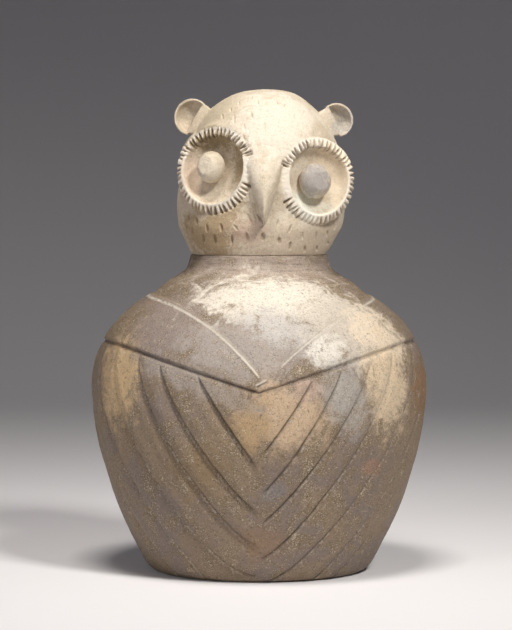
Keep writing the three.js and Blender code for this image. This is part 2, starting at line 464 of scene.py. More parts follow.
@dataclass(frozen=True)
class FeatherCuts:
    """The feather lines cut down one side of the body.

    Args:
        side: Which side of the middle line they are on.
        middle: The middle line's azimuth in degrees from the front.
        starts: Each line's azimuth from the middle line where it starts, under the cape.
        heights: Each line's height where it reaches the middle line.
        bends: How far each line sags between the two.
        depth: How deep the tool went.
        steep: How far the cut's steep upper wall reaches from its bottom.
        sloping: How far its sloping lower wall does, over the feather below.
        light_press: The share of the depth that the tool reached at a line's ends.
        added_press: How much more it reached half-way.
        burr: The clay that the tool pushed up, above the steep wall.
        roll: The swell of the feather above the line.
        worn: The pale edge below the line, where hands rubbed it.
    """

    side: Side
    middle: float
    starts: tuple[float, ...]
    heights: tuple[float, ...]
    bends: tuple[float, ...]
    depth: float
    steep: float = 1.7
    sloping: float = 12.0
    light_press: float = 0.72
    added_press: float = 0.28
    burr: Ridge = Ridge(height=0.3, place=0.6, width=0.9)
    roll: Ridge = Ridge(height=1.2, place=9.0, width=6.0)
    worn: Ridge = Ridge(height=0.55, place=-2.6, width=1.1)


@dataclass
class Carving:
    """What the tools did to the surface at each of its points.

    Args:
        rise: How far it moved out, in millimetres.
        cut: How deep in a carved line it is, from 0 to 1.
        edge_lime_and_highlight: How far up on a raised edge it is, from 0 to 1, for its pale deposit
            and painted highlight.
    """

    rise: np.ndarray
    cut: np.ndarray
    edge_lime_and_highlight: np.ndarray

    def add(self, other: "Carving", share: np.ndarray) -> None:
        """Adds other carving over a share of the surface.

        Args:
            other: The carving to add.
            share: How much of it there is at each point.
        """
        self.rise = self.rise + other.rise * share
        self.cut = np.maximum(self.cut, other.cut * share)
        self.edge_lime_and_highlight = np.maximum(self.edge_lime_and_highlight, other.edge_lime_and_highlight * share)


@dataclass
class Jar:
    """The hollow body, from its flat foot to its mouth.

    Args:
        rim_height: The mouth's height.
        foot_radius: The radius of the flat foot.
        wall: How thick the wall is.
        floor: How thick the floor is.
        stations: The outside's radii and heights, from the foot to the mouth.
        rim_round: How far the edges of the mouth are rounded.
        cape_rise: How far the cape stands out.
        lip: The ridge just inside the cape's upper edge.
        gutter_depth: How deep the tool went just outside that edge.
        hem_depth: How deep it went just under the hem.
        hem_reach: How far that cut slopes down from the hem.
        hem_worn: The pale stroke of wear under the hem.
        cape_top: The height of the upper edge at the sides.
        cape_top_dip: How far it dips in front, on the left and on the right.
        cape_top_dip_behind: How far it dips behind.
        cape_top_spread: How many degrees the dip takes, on the left and on the right.
        hem: The hem's height at the sides.
        hem_dip: How far the hem dips in front.
        hem_dip_behind: How far it dips behind.
        hem_spread: How many degrees that dip takes.
        cut_gap_under_hem: How far under the hem the feather lines start.
        swells: Each layer of unevenness: how far apart its swells are, how high they are and
            how many finer layers it has.
        columns: How many faces the turned mesh has round the axis.
        finer: How often each of its faces is cut in four.
        crowding: How much its columns crowd in front and thin out behind.
        triangles: The most triangles that it may have.
    """

    rim_height: float
    foot_radius: float = 106.0
    wall: float = 9.0
    floor: float = 12.0
    stations: tuple[Pair, ...] = (
        (111.5, 2.2), (117.5, 8.3), (129.7, 30.0), (146.6, 67.0), (159.7, 106.0), (169.2, 144.0),
        (173.6, 185.0), (171.2, 213.0), (164.5, 233.0), (151.5, 254.0), (131.5, 273.5),
        (110.2, 287.5), (101.9, 294.6), (94.6, 300.2), (86.6, 304.8), (80.6, 308.6),
        (76.6, 312.0), (74.2, 316.0), (72.6, 321.0), (71.4, 326.6),
    )
    rim_round: float = 1.4
    cape_rise: float = 2.3
    lip: Ridge = Ridge(height=0.9, place=-1.7, width=1.3)
    gutter_depth: float = 0.8
    hem_depth: float = 1.9
    hem_reach: float = 6.0
    hem_worn: Ridge = Ridge(height=0.2, place=-4.5, width=2.2)
    cape_top: float = 288.5
    cape_top_dip: Pair = (76.0, 88.0)
    cape_top_dip_behind: float = 30.0
    cape_top_spread: Pair = (20.0, 24.5)
    hem: float = 240.0
    hem_dip: float = 43.0
    hem_dip_behind: float = 20.0
    hem_spread: float = 72.0
    cut_gap_under_hem: float = 5.0
    swells: Swells = ((70.0, 1.8, 1), (16.0, 0.8, 2), (3.4, 0.35, 2))
    columns: int = 114
    finer: int = 3
    crowding: float = 0.32
    triangles: int = 190_000

    def __post_init__(self) -> None:
        """Works out the outline, and lists the feather lines and the rings."""
        self.outside = Outline(through(self.stations, steps=24))
        self.rings = {Wall.FEATHERS: 24, Wall.CAPE: 6, Wall.SHOULDER: 14}
        self.feathers = (
            FeatherCuts(Side.LEFT, middle=0.0, starts=(21, 36.5, 47, 62, 76, 92),
                        heights=(118, 75, 40, 7, -43, -80), bends=(1.05, 1.4, 1.6, 2.0, 1.85, 2.0),
                        depth=4.8, sloping=14.0),
            FeatherCuts(Side.RIGHT, middle=0.0, starts=(18, 29, 42, 54, 70, 82, 95),
                        heights=(132, 93, 63, 26, 0, -30, -62),
                        bends=(1.15, 1.3, 1.35, 1.5, 1.75, 2.05, 1.9), depth=3.4, sloping=10.0),
            *(FeatherCuts(side, middle=180.0, starts=(24, 46, 68), heights=(120, 40, -45),
                          bends=(1.1, 1.5, 1.9), depth=2.2) for side in Side),
        )

    def top_of_cape(self, azimuth: np.ndarray) -> np.ndarray:
        """The height of the cape's upper edge.

        Args:
            azimuth: In degrees from the front.

        Returns:
            Its height at each azimuth.
        """
        off = np.abs(azimuth)
        right = smooth_step(1.0, 6.0, azimuth)
        dip = self.cape_top_dip[0] + right * (self.cape_top_dip[1] - self.cape_top_dip[0])
        spread = self.cape_top_spread[0] + right * (self.cape_top_spread[1] - self.cape_top_spread[0])
        front = dip * np.exp(-off / spread)
        behind = self.cape_top_dip_behind * np.exp(-(180.0 - off) / self.cape_top_spread[1])
        return self.cape_top - front - behind

    def hem_of_cape(self, azimuth: np.ndarray) -> np.ndarray:
        """The height of the cape's hem.

        Args:
            azimuth: In degrees from the front.

        Returns:
            Its height at each azimuth.
        """
        off = np.abs(azimuth)
        quarter = math.pi / 2.0
        front = 1.0 - np.sin(np.minimum(off / self.hem_spread, 1.0) * quarter)
        behind = 1.0 - np.sin(np.minimum((180.0 - off) / self.hem_spread, 1.0) * quarter)
        return self.hem - self.hem_dip * front - self.hem_dip_behind * behind

    def edge_distance(self, edge: Callable[[np.ndarray], np.ndarray], azimuth: np.ndarray,
                      radius: np.ndarray, height: np.ndarray) -> np.ndarray:
        """How far a point is above one of the cape's edges, square to the edge.

        Args:
            edge: The method that gives the edge's height at an azimuth.
            azimuth: In degrees from the front.
            radius: The jar's radius there.
            height: The point's height.

        Returns:
            The distance in millimetres, below zero under the edge.
        """
        step = 0.4
        rise = (edge(azimuth + step) - edge(azimuth - step)) / (2.0 * step)
        slope = rise / per_degree(radius)
        return (height - edge(azimuth)) / np.sqrt(1.0 + slope**2)

    def feather_carving(self, cuts: FeatherCuts, azimuth: np.ndarray, radius: np.ndarray,
                        height: np.ndarray) -> Carving:
        """What one side's feather lines do to the surface.

        Args:
            cuts: The side's lines.
            azimuth: In degrees from the front.
            radius: The jar's radius there.
            height: The point's height.

        Returns:
            The lines' carving.
        """
        turned = wrapped(azimuth - cuts.middle)
        angle = turned * cuts.side.value * (1.0 if cuts.middle == 0.0 else -1.0)
        lines = Carving(np.zeros_like(height), np.zeros_like(height), np.zeros_like(height))
        for start, middle_height, bend in zip(cuts.starts, cuts.heights, cuts.bends):
            top = float(self.hem_of_cape(np.array(cuts.middle - start))) - self.cut_gap_under_hem
            share = np.clip(angle / start, 1e-3, 1.0)
            line = middle_height + (top - middle_height) * share**bend
            climb = (top - middle_height) * bend / start * share ** (bend - 1.0)
            off = (height - line) / np.sqrt(1.0 + (climb / per_degree(radius)) ** 2)
            # A line fades out within 3 degrees of the middle and just before its other end.
            ends = smooth_step(0.3, 3.0, angle) * smooth_step(1.0, 0.94, angle / start)
            press = ends * (cuts.light_press + cuts.added_press * np.sin(np.pi * share))
            wall = smooth_step(cuts.steep, 0.0, off) * (off >= 0.0)
            slope = np.clip(1.0 + off / cuts.sloping, 0.0, 1.0) ** 1.5 * (off < 0.0)
            raised = cuts.burr.at(off - cuts.steep) + cuts.roll.at(off)
            # The groove's bottom takes dark earth with painted shade.
            bottom = np.clip(1.0 - np.abs(off - 0.3) / 1.7, 0.0, 1.0)
            lines.add(Carving(raised - cuts.depth * (wall + slope), bottom, cuts.worn.at(off)), press)
        return lines

    def carving(self, azimuth: np.ndarray, radius: np.ndarray, height: np.ndarray) -> Carving:
        """All that is carved or raised on the outside.

        Args:
            azimuth: In degrees from the front.
            radius: The jar's plain radius there.
            height: The point's height.

        Returns:
            The carving at each point.
        """
        above_top = self.edge_distance(self.top_of_cape, azimuth, radius, height)
        above_hem = self.edge_distance(self.hem_of_cape, azimuth, radius, height)
        # The upper edge is worn away for a few degrees to the right of its point.
        right = smooth_step(-1.0, 1.0, azimuth)
        lost = right * smooth_step(8.5, 5.0, azimuth)
        edge = smooth_step(1.2, -1.2, above_top)
        slow_edge = smooth_step(9.0, -6.0, above_top)
        band = (edge * (1.0 - lost) + slow_edge * lost) * smooth_step(-0.6, 0.6, above_hem)
        front = smooth_step(88.0, 62.0, np.abs(azimuth))
        lip = self.lip.at(above_top) * (1.0 - lost) * front
        gutter = hump(above_top - 2.2, 2.0) * (1.0 - lost)
        hem_slope = np.clip(1.0 + above_hem / self.hem_reach, 0.0, 1.0) ** 1.8
        under_hem = np.where(above_hem < 0.0, hem_slope, 0.0)
        under_hem = np.maximum(under_hem, hump(above_hem, 0.8) * (above_hem >= 0.0))
        band *= 0.55 + 0.45 * front
        rise = (self.cape_rise * band + lip - self.gutter_depth * gutter * front
                - self.hem_depth * under_hem)
        # The dark line in the hem's groove is dirt with painted shade, weaker on the right; the thin
        # dark line on the right, in the gutter just above the cape's upper edge, is painted shade.
        hem_line = np.clip(1.0 - np.abs(above_hem + 0.8) / 1.6, 0.0, 1.0)
        cut = np.maximum((1.0 - 0.35 * right) * hem_line,
                         0.3 * right * (1.0 - lost) * hump(above_top - 1.9, 0.9))
        # The pale line just under the cape's upper edge is pale deposit with painted highlight,
        # weaker on the right, where that edge faces away from the light.
        edge_lime_and_highlight = np.maximum((1.0 - 0.2 * right) * (1.0 - lost) * hump(above_top + 0.9, 1.25),
                           self.hem_worn.at(above_hem))
        whole = Carving(rise, cut, edge_lime_and_highlight)
        below = smooth_step(-1.5, -4.5, above_hem)
        for cuts in self.feathers:
            whole.add(self.feather_carving(cuts, azimuth, radius, height), below)
        whole.add(self.stray_score(azimuth, radius, height), np.ones_like(height))
        return whole

    def stray_score(self, azimuth: np.ndarray, radius: np.ndarray, height: np.ndarray) -> Carving:
        """The short score that a tool left between the points of the two Vs.

        Args:
            azimuth: In degrees from the front.
            radius: The jar's radius there.
            height: The point's height.

        Returns:
            The score's carving.
        """
        across = azimuth * radius * math.pi / 180.0
        start, end = np.array([-3.0, 201.5]), np.array([9.5, 208.0])
        along = (end - start) / np.linalg.norm(end - start)
        from_start = np.stack([across - start[0], height - start[1]], axis=1)
        run = from_start @ along
        off = from_start @ np.array([-along[1], along[0]])
        inside = smooth_step(-1.0, 2.0, run) * smooth_step(14.5, 11.0, run)
        inside = inside * (np.abs(azimuth) < 90.0)
        # The score's groove takes dark earth with painted shade, and the edge beside it pale deposit
        # with painted highlight.
        groove = inside * np.clip(1.0 - np.abs(off) / 1.7, 0.0, 1.0)
        return Carving(-1.2 * groove, 0.8 * groove, inside * hump(off - 2.0, 1.0))

    def inner_points(self) -> np.ndarray:
        """The inside's outline, from the mouth down to the middle of the floor.

        Returns:
            Rows of radius and height.
        """
        wall = self.outside.inset(self.wall)[::-30]
        wall = wall[(wall[:, 1] > self.floor + 5.0) & (wall[:, 1] < self.rim_height - 3.0)]
        corner = wall[-1]
        floor = [(corner[0] - 2.0, self.floor + 1.2), (corner[0] - 8.0, self.floor),
                 (0.0, self.floor)]
        return np.vstack([wall, floor])

    def side_marks(self) -> Pair:
        """How far along the outline the hem and the cape's upper edge are, at the owl's side.

        Returns:
            The hem's length along it and the upper edge's.
        """
        side = np.array(90.0)
        hem = self.outside.along_at_height(self.hem_of_cape(side))
        return float(hem), float(self.outside.along_at_height(self.top_of_cape(side)))

    def whole_outline(self) -> np.ndarray:
        """The closed outline, from the middle of the underside round to the middle of the floor.

        Returns:
            Rows of radius and height.
        """
        hem, top = self.side_marks()
        steps = [0.0]
        for wall, end in zip(self.rings, (hem, top, self.outside.length)):
            steps = np.append(steps, np.linspace(steps[-1], end, self.rings[wall] + 1)[1:])
        outside = np.stack(self.outside.at(steps), axis=1)
        foot = np.array([(0.0, 0.0), (self.foot_radius, 0.0)])
        bend, level, inside = self.rim_round, self.rim_height, self.inner_points()
        outer, inner = self.stations[-1][0], inside[0][0]
        rim = [(outer - 0.3 * bend, level - 0.3 * bend), (outer - bend, level),
               (inner + bend, level), (inner + 0.3 * bend, level - 0.3 * bend)]
        return np.vstack([foot, outside, rim, inside])

    def build(self) -> Piece:
        """Turns the jar, crowds and slides its mesh to the carving, and carves it.

        Returns:
            The jar's mesh object.
        """
        jar = turned_form("owl_jar", self.whole_outline(), self.columns, self.finer)
        points = points_of(jar)
        radius, height = np.hypot(points[:, 0], points[:, 1]), points[:, 2]
        share = np.arctan2(points[:, 0], -points[:, 1]) / math.pi
        azimuth = 180.0 * ((1.0 - self.crowding) * share + self.crowding * share**3)
        plain, _ = self.outside.at(self.outside.along_at_height(height))
        outer = (radius > plain - 1.0) & (height > 0.5) & (height < self.stations[-1][1] + 0.1)
        along = self.slide(azimuth[outer], self.outside.along_at_height(height[outer]))
        radius[outer], height[outer] = self.outside.at(along)
        out_r, out_z = self.outside.outwards(along)
        rise = self.carving(azimuth[outer], radius[outer], height[outer]).rise
        rise *= smooth_step(self.rim_height - 2.0, self.rim_height - 10.0, height[outer])
        rise *= smooth_step(2.0, 8.0, height[outer])
        radius[outer] += rise * out_r
        height[outer] += rise * out_z
        angle = np.radians(azimuth)
        move_points(jar, np.stack([radius * np.sin(angle), -radius * np.cos(angle), height], axis=1))
        self.make_uneven(jar)
        thin_out(jar, self.triangles)
        self.mark_carving(jar)
        return jar

    def slide(self, azimuth: np.ndarray, along: np.ndarray) -> np.ndarray:
        """Slides rings along the outline, so that one follows the hem and one the cape's top.

        Args:
            azimuth: In degrees from the front.
            along: Where on the outline each point is.

        Returns:
            Where on the outline each point goes.
        """
        side_hem, side_top = self.side_marks()
        hem = self.outside.along_at_height(self.hem_of_cape(azimuth))
        top = self.outside.along_at_height(self.top_of_cape(azimuth))
        below = along / side_hem * hem
        cape = hem + (along - side_hem) / (side_top - side_hem) * (top - hem)
        shoulder = self.outside.length - ((self.outside.length - along) * (self.outside.length - top)
                                          / (self.outside.length - side_top))
        return np.where(along < side_hem, below, np.where(along < side_top, cape, shoulder))

    def make_uneven(self, jar: Piece) -> None:
        """Gives the wall the swells that fingers and a paddle leave, but not the foot or mouth.

        Args:
            jar: The jar's mesh object.
        """
        plain = points_of(jar)
        for size, rise, depth in self.swells:
            roughen(jar, size, rise, depth)
        moved = points_of(jar)
        keep = smooth_step(1.0, 8.0, plain[:, 2])
        keep *= smooth_step(self.rim_height - 0.5, self.rim_height - 8.0, plain[:, 2])
        move_points(jar, plain + (moved - plain) * keep[:, None])

    def mark_carving(self, jar: Piece) -> None:
        """Stores where the cuts and the rubbed edges are, for the dirt and painted shade in the cuts
        and the pale deposit and painted highlight on the edges.

        Args:
            jar: The jar's mesh object.
        """
        points = points_of(jar)
        azimuth = np.degrees(np.arctan2(points[:, 0], -points[:, 1]))
        plain, _ = self.outside.at(self.outside.along_at_height(points[:, 2]))
        carving = self.carving(azimuth, np.maximum(plain, 1.0), points[:, 2])
        outer = np.hypot(points[:, 0], points[:, 1]) > plain - 0.6 * self.wall
        store(jar, "cut", carving.cut * outer)
        store(jar, "edge_lime_and_highlight", carving.edge_lime_and_highlight * outer)


# The head.


@dataclass(frozen=True)
class Eye:
    """An eye: a dish with a notched rim, and a ball on its floor.

    Args:
        place: The middle of the rim's plane.
        yaw: How far the dish is turned outwards, in degrees, positive to the viewer's right.
        pitch: How far it looks upwards, in degrees.
        scale: Its size against the plain dish's.
        ball: The ball's place in the dish, across, up and out.
        ball_size: The ball's half width, half height and half depth.
        smooth_side: The rim's stretch with hardly any notches, from and to, in degrees from
            the viewer's right, anticlockwise.
        splits: The places of deeper, thinner notches, in the same degrees.
        teeth: How many teeth would go all the way round.
        seed: What the rim's irregular notches start from.
    """

    place: Triple
    yaw: float
    pitch: float
    scale: float
    ball: Triple
    ball_size: Triple
    smooth_side: Pair
    splits: tuple[float, ...]
    teeth: int
    seed: int

    def matrix(self) -> Matrix:
        """Turns the dish's own frame, with +Z out of the dish and +Y up, into the head's.

        Returns:
            The matrix, in metres.
        """
        turn = Euler((math.radians(90.0 - self.pitch), 0.0, math.radians(self.yaw)), "XYZ")
        turned = Matrix.Translation(Vector(self.place) * MM) @ turn.to_matrix().to_4x4()
        return turned @ Matrix.Scale(self.scale, 4)


@dataclass(frozen=True)
class Ear:
    """An ear: half a cup that stands on a short stem.

    Args:
        side: The side of the head that it is on.
        place: The middle of the cup's circle.
        lean: The straight side's tilt from upright, in degrees, seen from the front.
        yaw: How far the cup is turned, in degrees, positive to the viewer's right.
        radius: The cup's radius.
        chord: How far the straight side is from the middle, towards the head.
        stem: How far the stem reaches towards the head, at its top and at its bottom.
    """

    side: Side
    place: Triple
    lean: float
    yaw: float
    radius: float
    chord: float
    stem: Pair


@dataclass(frozen=True)
class Mark:
    """A slot pressed in the face with the end of a tool.

    Args:
        x: Its place across the face.
        z: Its height.
        length: How long it is.
        lean: Its tilt from upright in degrees, positive with the top to the viewer's right.
        width: How wide it is.
        depth: How deep it is.
    """

    x: float
    z: float
    length: float
    lean: float = 0.0
    width: float = 3.6
    depth: float = 2.2


@dataclass
class Head:
    """The hollow lid, the owl's head, which rests on the jar's mouth.

    Args:
        base: The height of its flat lower edge.
        height: How tall it is.
        lean: How far its crown is to the viewer's right of its base.
        wall: How thick its wall is.
        voxel: How fine its clay is remeshed, before the notches are pressed.
        triangles: The most triangles that it may have.
        lip: The radius of a dish's inner edge, the start of its rim.
        rim: The radius of the rim's outer edge.
        notch_depth: How deep the notches in the rims are.
        notch_width: Half the width of a notch, where it is widest.
        chin_flat: How far the face is pressed flat at the chin.
        chin_level: The height of the flattest place above the base.
        chin_reach: How far up and down it is pressed flat.
        ear_hollow: How far the crown is pressed in by the ear on the right.
        swells: Each layer of unevenness: how far apart its swells are, how high they are and
            how many finer layers it has.
        stations: The outside's radii, and its heights above the base.
        dish: A dish's radii, and its heights out of the dish.
    """

    base: float
    height: float
    lean: float = 6.2
    wall: float = 8.0
    voxel: float = 0.68
    triangles: int = 194_000
    lip: float = 36.4
    rim: float = 45.8
    notch_depth: float = 4.2
    notch_width: float = 2.35
    chin_flat: float = 8.0
    chin_level: float = 44.0
    chin_reach: float = 25.0
    ear_hollow: float = 3.6
    swells: Swells = ((34.0, 1.3, 1), (8.0, 0.5, 2), (2.4, 0.22, 2))
    stations: tuple[Pair, ...] = (
        (70.0, 0.0), (74.5, 8.0), (78.7, 16.5), (85.0, 30.0), (87.4, 50.0), (86.6, 67.0),
        (83.8, 83.0), (80.5, 100.0), (74.8, 119.0), (62.5, 143.0), (50.5, 155.0), (34.0, 165.0),
        (17.0, 169.7), (0.0, 171.0),
    )
    dish: tuple[Pair, ...] = (
        (0.0, -25.0), (30.0, -24.0), (41.0, -18.0), (46.0, -10.5), (46.4, -6.0), (45.4, -3.0),
        (42.6, -1.2), (39.6, -0.1), (37.4, 0.4), (35.9, -0.2), (35.0, -2.6), (33.6, -7.6),
        (30.2, -12.6), (24.0, -15.6), (14.0, -16.8), (0.0, -17.2),
    )

    def __post_init__(self) -> None:
        """Lists the eyes, the ears and the marks in the face."""
        self.eyes = (
            Eye(place=(-46.9, -61.5, 416.0), yaw=-29.0, pitch=8.5, scale=0.98,
                ball=(-5.0, 2.6, -4.5), ball_size=(14.4, 16.6, 15.8), smooth_side=(-22.0, 17.0),
                splits=(24.0, 36.0, 49.0), teeth=52, seed=7),
            Eye(place=(60.8, -60.0, 405.0), yaw=29.5, pitch=4.5, scale=0.97,
                ball=(-0.6, -0.6, -7.0), ball_size=(17.4, 18.4, 15.4), smooth_side=(160.0, 208.0),
                splits=(155.0,), teeth=50, seed=19),
        )
        self.ears = (
            Ear(Side.LEFT, place=(-69.6, -10.0, 470.0), lean=29.0, yaw=-16.0, radius=19.4, chord=5.0,
                stem=(15.0, 3.0)),
            Ear(Side.RIGHT, place=(80.3, -10.0, 467.1), lean=-25.0, yaw=14.0, radius=17.8, chord=4.0,
                stem=(17.0, 4.0)),
        )
        # Across, up, length, lean, width and depth: the beak's sides, the chin and the crown.
        self.marks = (
            Mark(22.0, 409.0, 30.0, 14.0, 5.0, 1.0), Mark(16.9, 389.0, 26.0, 14.0, 4.4, 1.0),
            Mark(11.8, 369.5, 20.0, 14.0, 3.4, 1.0),
            Mark(-9.3, 393.1, 34.0, -11.5, 5.0, 0.9), Mark(-4.2, 375.5, 20.0, -18.4, 3.4, 1.3),
            Mark(0.3, 366.0, 14.0, -32.0, 2.4, 2.6), Mark(-4.6, 368.0, 13.0, -22.0, 2.8, 1.6),
            Mark(-10.1, 365.9, 12.0, -24.0, 2.8, 1.4), Mark(18.3, 361.8, 9.0, 8.0, 3.0, 1.4),
            Mark(-12.9, 346.8, 10.5, -6.0, 4.4), Mark(3.2, 347.4, 9.5, 2.0, 5.4, 2.6),
            Mark(20.0, 343.2, 8.0, 0.0, 4.4), Mark(31.2, 338.0, 9.0, 8.0, 4.0),
            Mark(46.2, 334.6, 7.5, 6.0, 4.0), Mark(58.9, 335.2, 6.5, 6.0, 3.4),
            Mark(43.9, 348.1, 9.0, 4.0, 3.0, 1.4), Mark(57.8, 348.1, 9.5, 8.0, 3.0, 1.6),
            Mark(69.4, 349.7, 8.0, 12.0, 3.0), Mark(70.6, 340.4, 5.0, 8.0, 3.0),
            Mark(77.6, 357.8, 8.5, 12.0, 3.2), Mark(31.2, 355.5, 10.0, 22.0, 3.0, 1.6),
            Mark(-28.1, 344.5, 10.5, -4.0, 3.6), Mark(-24.1, 356.6, 7.0, -30.0, 3.0, 1.4),
            Mark(-39.1, 356.6, 9.0, -8.0, 3.8), Mark(-45.5, 345.1, 11.0, -8.0, 3.6),
            Mark(-57.1, 345.6, 10.0, -6.0, 3.4), Mark(-53.6, 355.5, 8.5, -6.0, 3.6),
            Mark(-64.1, 363.1, 7.5, -6.0, 3.4), Mark(-72.8, 367.1, 6.5, -8.0, 3.4),
            Mark(-78.0, 363.1, 8.0, -8.0, 3.4), Mark(-68.8, 352.2, 8.0, -8.0, 3.0),
            Mark(-75.0, 357.6, 6.0, -10.0, 3.0), Mark(-1.9, 484.3, 5.5, -4.0, 3.0, 1.7),
            Mark(-29.5, 476.7, 5.0, 4.0, 3.0, 1.4), Mark(-25.9, 466.7, 10.0, 0.0, 3.0, 1.3),
            Mark(-7.9, 470.7, 7.5, -14.0, 3.2, 1.9), Mark(-15.4, 457.7, 8.0, -12.0, 2.8, 1.2),
            Mark(5.2, 457.7, 10.0, -6.0, 2.6, 1.5), Mark(-8.3, 489.0, 3.5, 30.0, 4.4, 1.4),
            Mark(19.6, 484.6, 5.5, 12.0, 4.6, 1.6), Mark(27.1, 481.5, 4.5, 60.0, 4.6, 1.3),
            Mark(18.6, 458.7, 4.0, 0.0, 2.4, 0.8), Mark(-38.0, 470.0, 6.0, -4.0, 2.8, 1.0),
            Mark(36.5, 470.0, 5.0, 6.0, 2.8, 0.9), Mark(8.0, 474.5, 4.0, 0.0, 2.8, 0.9),
            Mark(-16.0, 448.0, 9.0, -16.0, 2.6, 0.9), Mark(-21.0, 484.0, 4.0, 10.0, 3.0, 1.0),
            Mark(30.0, 489.5, 3.0, 20.0, 3.0, 1.0), Mark(46.0, 474.0, 4.0, 20.0, 3.0, 0.8),
        )
        outline = through(self.stations, steps=8)
        self.outside = Outline(outline + np.array([0.0, self.base]))

    def shaped(self, form: Piece) -> None:
        """Gives an upright form the head's lean, its flat chin and the hollow by its right ear.

        Args:
            form: The form, turned about the jar's axis.
        """
        points = points_of(form)
        level = points[:, 2] - self.base
        forward = smooth_step(20.0, -55.0, points[:, 1])
        flat = self.chin_flat * hump(level - self.chin_level, self.chin_reach)
        points[:, 1] += flat * forward * smooth_step(0.0, 14.0, level)
        points[:, 0] += level * self.lean / self.height
        by_ear = hump(level - 150.0, 16.0)
        points[:, 0] -= self.ear_hollow * by_ear * smooth_step(10.0, 45.0, points[:, 0])
        move_points(form, points)

    def skull(self) -> Piece:
        """The head's plain form, closed below.

        Returns:
            The new object.
        """
        below = np.array([(0.0, self.base - 3.0), (68.6, self.base - 3.0)])
        form = turned_form("owl_head", np.vstack([below, self.outside.points]), columns=120)
        self.shaped(form)
        return form

    def hollow(self) -> Piece:
        """The space inside the lid, which leaves the clay behind the dishes whole.

        Returns:
            The new object, to be cut out of the head.
        """
        inset = self.outside.inset(self.wall)[::5]
        inset = inset[(inset[:, 0] > 6.0) & (inset[:, 1] > self.base + 2.0)]
        mouth = self.stations[0][0] - self.wall
        outline = [(0.0, self.base - 9.0), (mouth, self.base - 9.0), *inset,
                   (0.0, self.base + self.height - self.wall)]
        form = turned_form("hollow", np.array(outline), columns=64)
        self.shaped(form)
        backing = np.array([(0.0, -24.5), (30.0, -23.5), (43.0, -16.0), (50.0, -6.0), (50.0, 35.0),
                            (0.0, 35.0)])
        for eye in self.eyes:
            clay = turned_form("dish_backing", backing, columns=48)
            place(clay, eye.matrix())
            cut_away(form, clay)
        return form

    def clearance(self, eye: Eye) -> Piece:
        """The space in front of a dish, to be cut out of the skull.

        Args:
            eye: The dish's eye.

        Returns:
            The new object, in its place on the head.
        """
        lip = self.lip
        outline = [(0.0, -20.0), (31.0, -16.0), (lip - 1.2, -5.0), (lip - 0.6, 0.0),
                   (lip + 3.0, 12.0), (lip + 12.0, 45.0), (0.0, 45.0)]
        form = turned_form("clearance", np.array(outline), columns=96)
        place(form, eye.matrix())
        return form

    def dish_form(self, eye: Eye) -> Piece:
        """A dish with its plain rim.

        Args:
            eye: The dish's eye.

        Returns:
            The new object, in its place on the head.
        """
        form = turned_form("dish", through(self.dish, steps=3), columns=120)
        points = points_of(form)
        angle = np.arctan2(points[:, 1], points[:, 0])
        points[:, :2] *= (1.0 + 0.013 * np.sin(3.0 * angle + eye.seed))[:, None]
        points[:, 2] += 0.7 * np.sin(2.0 * angle + 2.0 * eye.seed) * (points[:, 2] > -8.0)
        move_points(form, points)
        place(form, eye.matrix())
        return form

    def ball_form(self, eye: Eye) -> Piece:
        """The clay ball on the floor of a dish, and the pad of clay that it was pressed onto.

        Args:
            eye: The dish's eye.

        Returns:
            The new object, in its place on the head.
        """
        bpy.ops.mesh.primitive_uv_sphere_add(segments=64, ring_count=40, radius=MM)
        form = bpy.context.object
        form.name = "ball"
        points = points_of(form)
        behind = np.clip(-points[:, 2] - 0.35, 0.0, 1.0)
        points[:, :2] *= (1.0 - 0.35 * behind)[:, None]
        points = points * np.array(eye.ball_size)
        facing = points[:, 2] / eye.ball_size[2]
        points[:, 2] -= 2.2 * smooth_step(0.72, 1.0, facing) ** 2
        points += np.array(eye.ball)
        move_points(form, points)
        place(form, eye.matrix())
        return form

    def face_depth(self, x: float, z: float) -> float:
        """How far forward the plain face is.

        Args:
            x: The place across.
            z: Its height.

        Returns:
            How far in front of the jar's axis it is.
        """
        radius, _ = self.outside.at(self.outside.along_at_height(np.array([z])))
        level = z - self.base
        offset = x - level * self.lean / self.height
        round_face = math.sqrt(max(float(radius[0]) ** 2 - offset**2, 1.0))
        flat = float(hump(np.array(level - self.chin_level), self.chin_reach))
        return round_face - self.chin_flat * flat

    def beak(self) -> Piece:
        """The ridged beak, from the brow down to its tip.

        Returns:
            The new object, in its place on the head.
        """
        # Height, place across, width and how far it stands out.
        sections = (
            (452.0, 5.6, 22.0, -4.0), (440.0, 5.6, 30.0, 0.0), (430.0, 5.6, 36.0, 4.0),
            (419.7, 5.4, 39.0, 8.0), (411.0, 5.3, 36.0, 11.0), (402.0, 5.3, 32.0, 13.8),
            (393.0, 5.3, 27.0, 16.6), (384.0, 5.2, 21.0, 19.0), (376.0, 5.0, 15.0, 20.5),
            (369.5, 4.7, 10.4, 20.5), (364.0, 4.6, 6.6, 18.5), (360.4, 4.6, 3.6, 14.5),
        )
        tip, sides, sunk = sections[-1][0], 32, 3.0
        rings = []
        for level, x, width, rise in sections:
            ring = []
            for step in range(sides):
                turn = 2.0 * math.pi * step / sides
                across, share = math.cos(turn), math.sin(turn)
                edge = abs(across)
                bluntness = 1.2 + (level - tip) * 0.011
                roof = 0.42 * (1.0 - edge**7) + 0.58 * (1.0 - edge**bluntness)
                out = roof * (rise + sunk) - sunk if share > 0.0 else -9.0 * abs(share) - sunk
                depth = self.face_depth(x + 0.5 * width * across, level)
                ring.append((x + 0.5 * width * across, -(depth + out), level))
            rings.append(np.array(ring))
        return lofted_form("beak", rings[::-1])

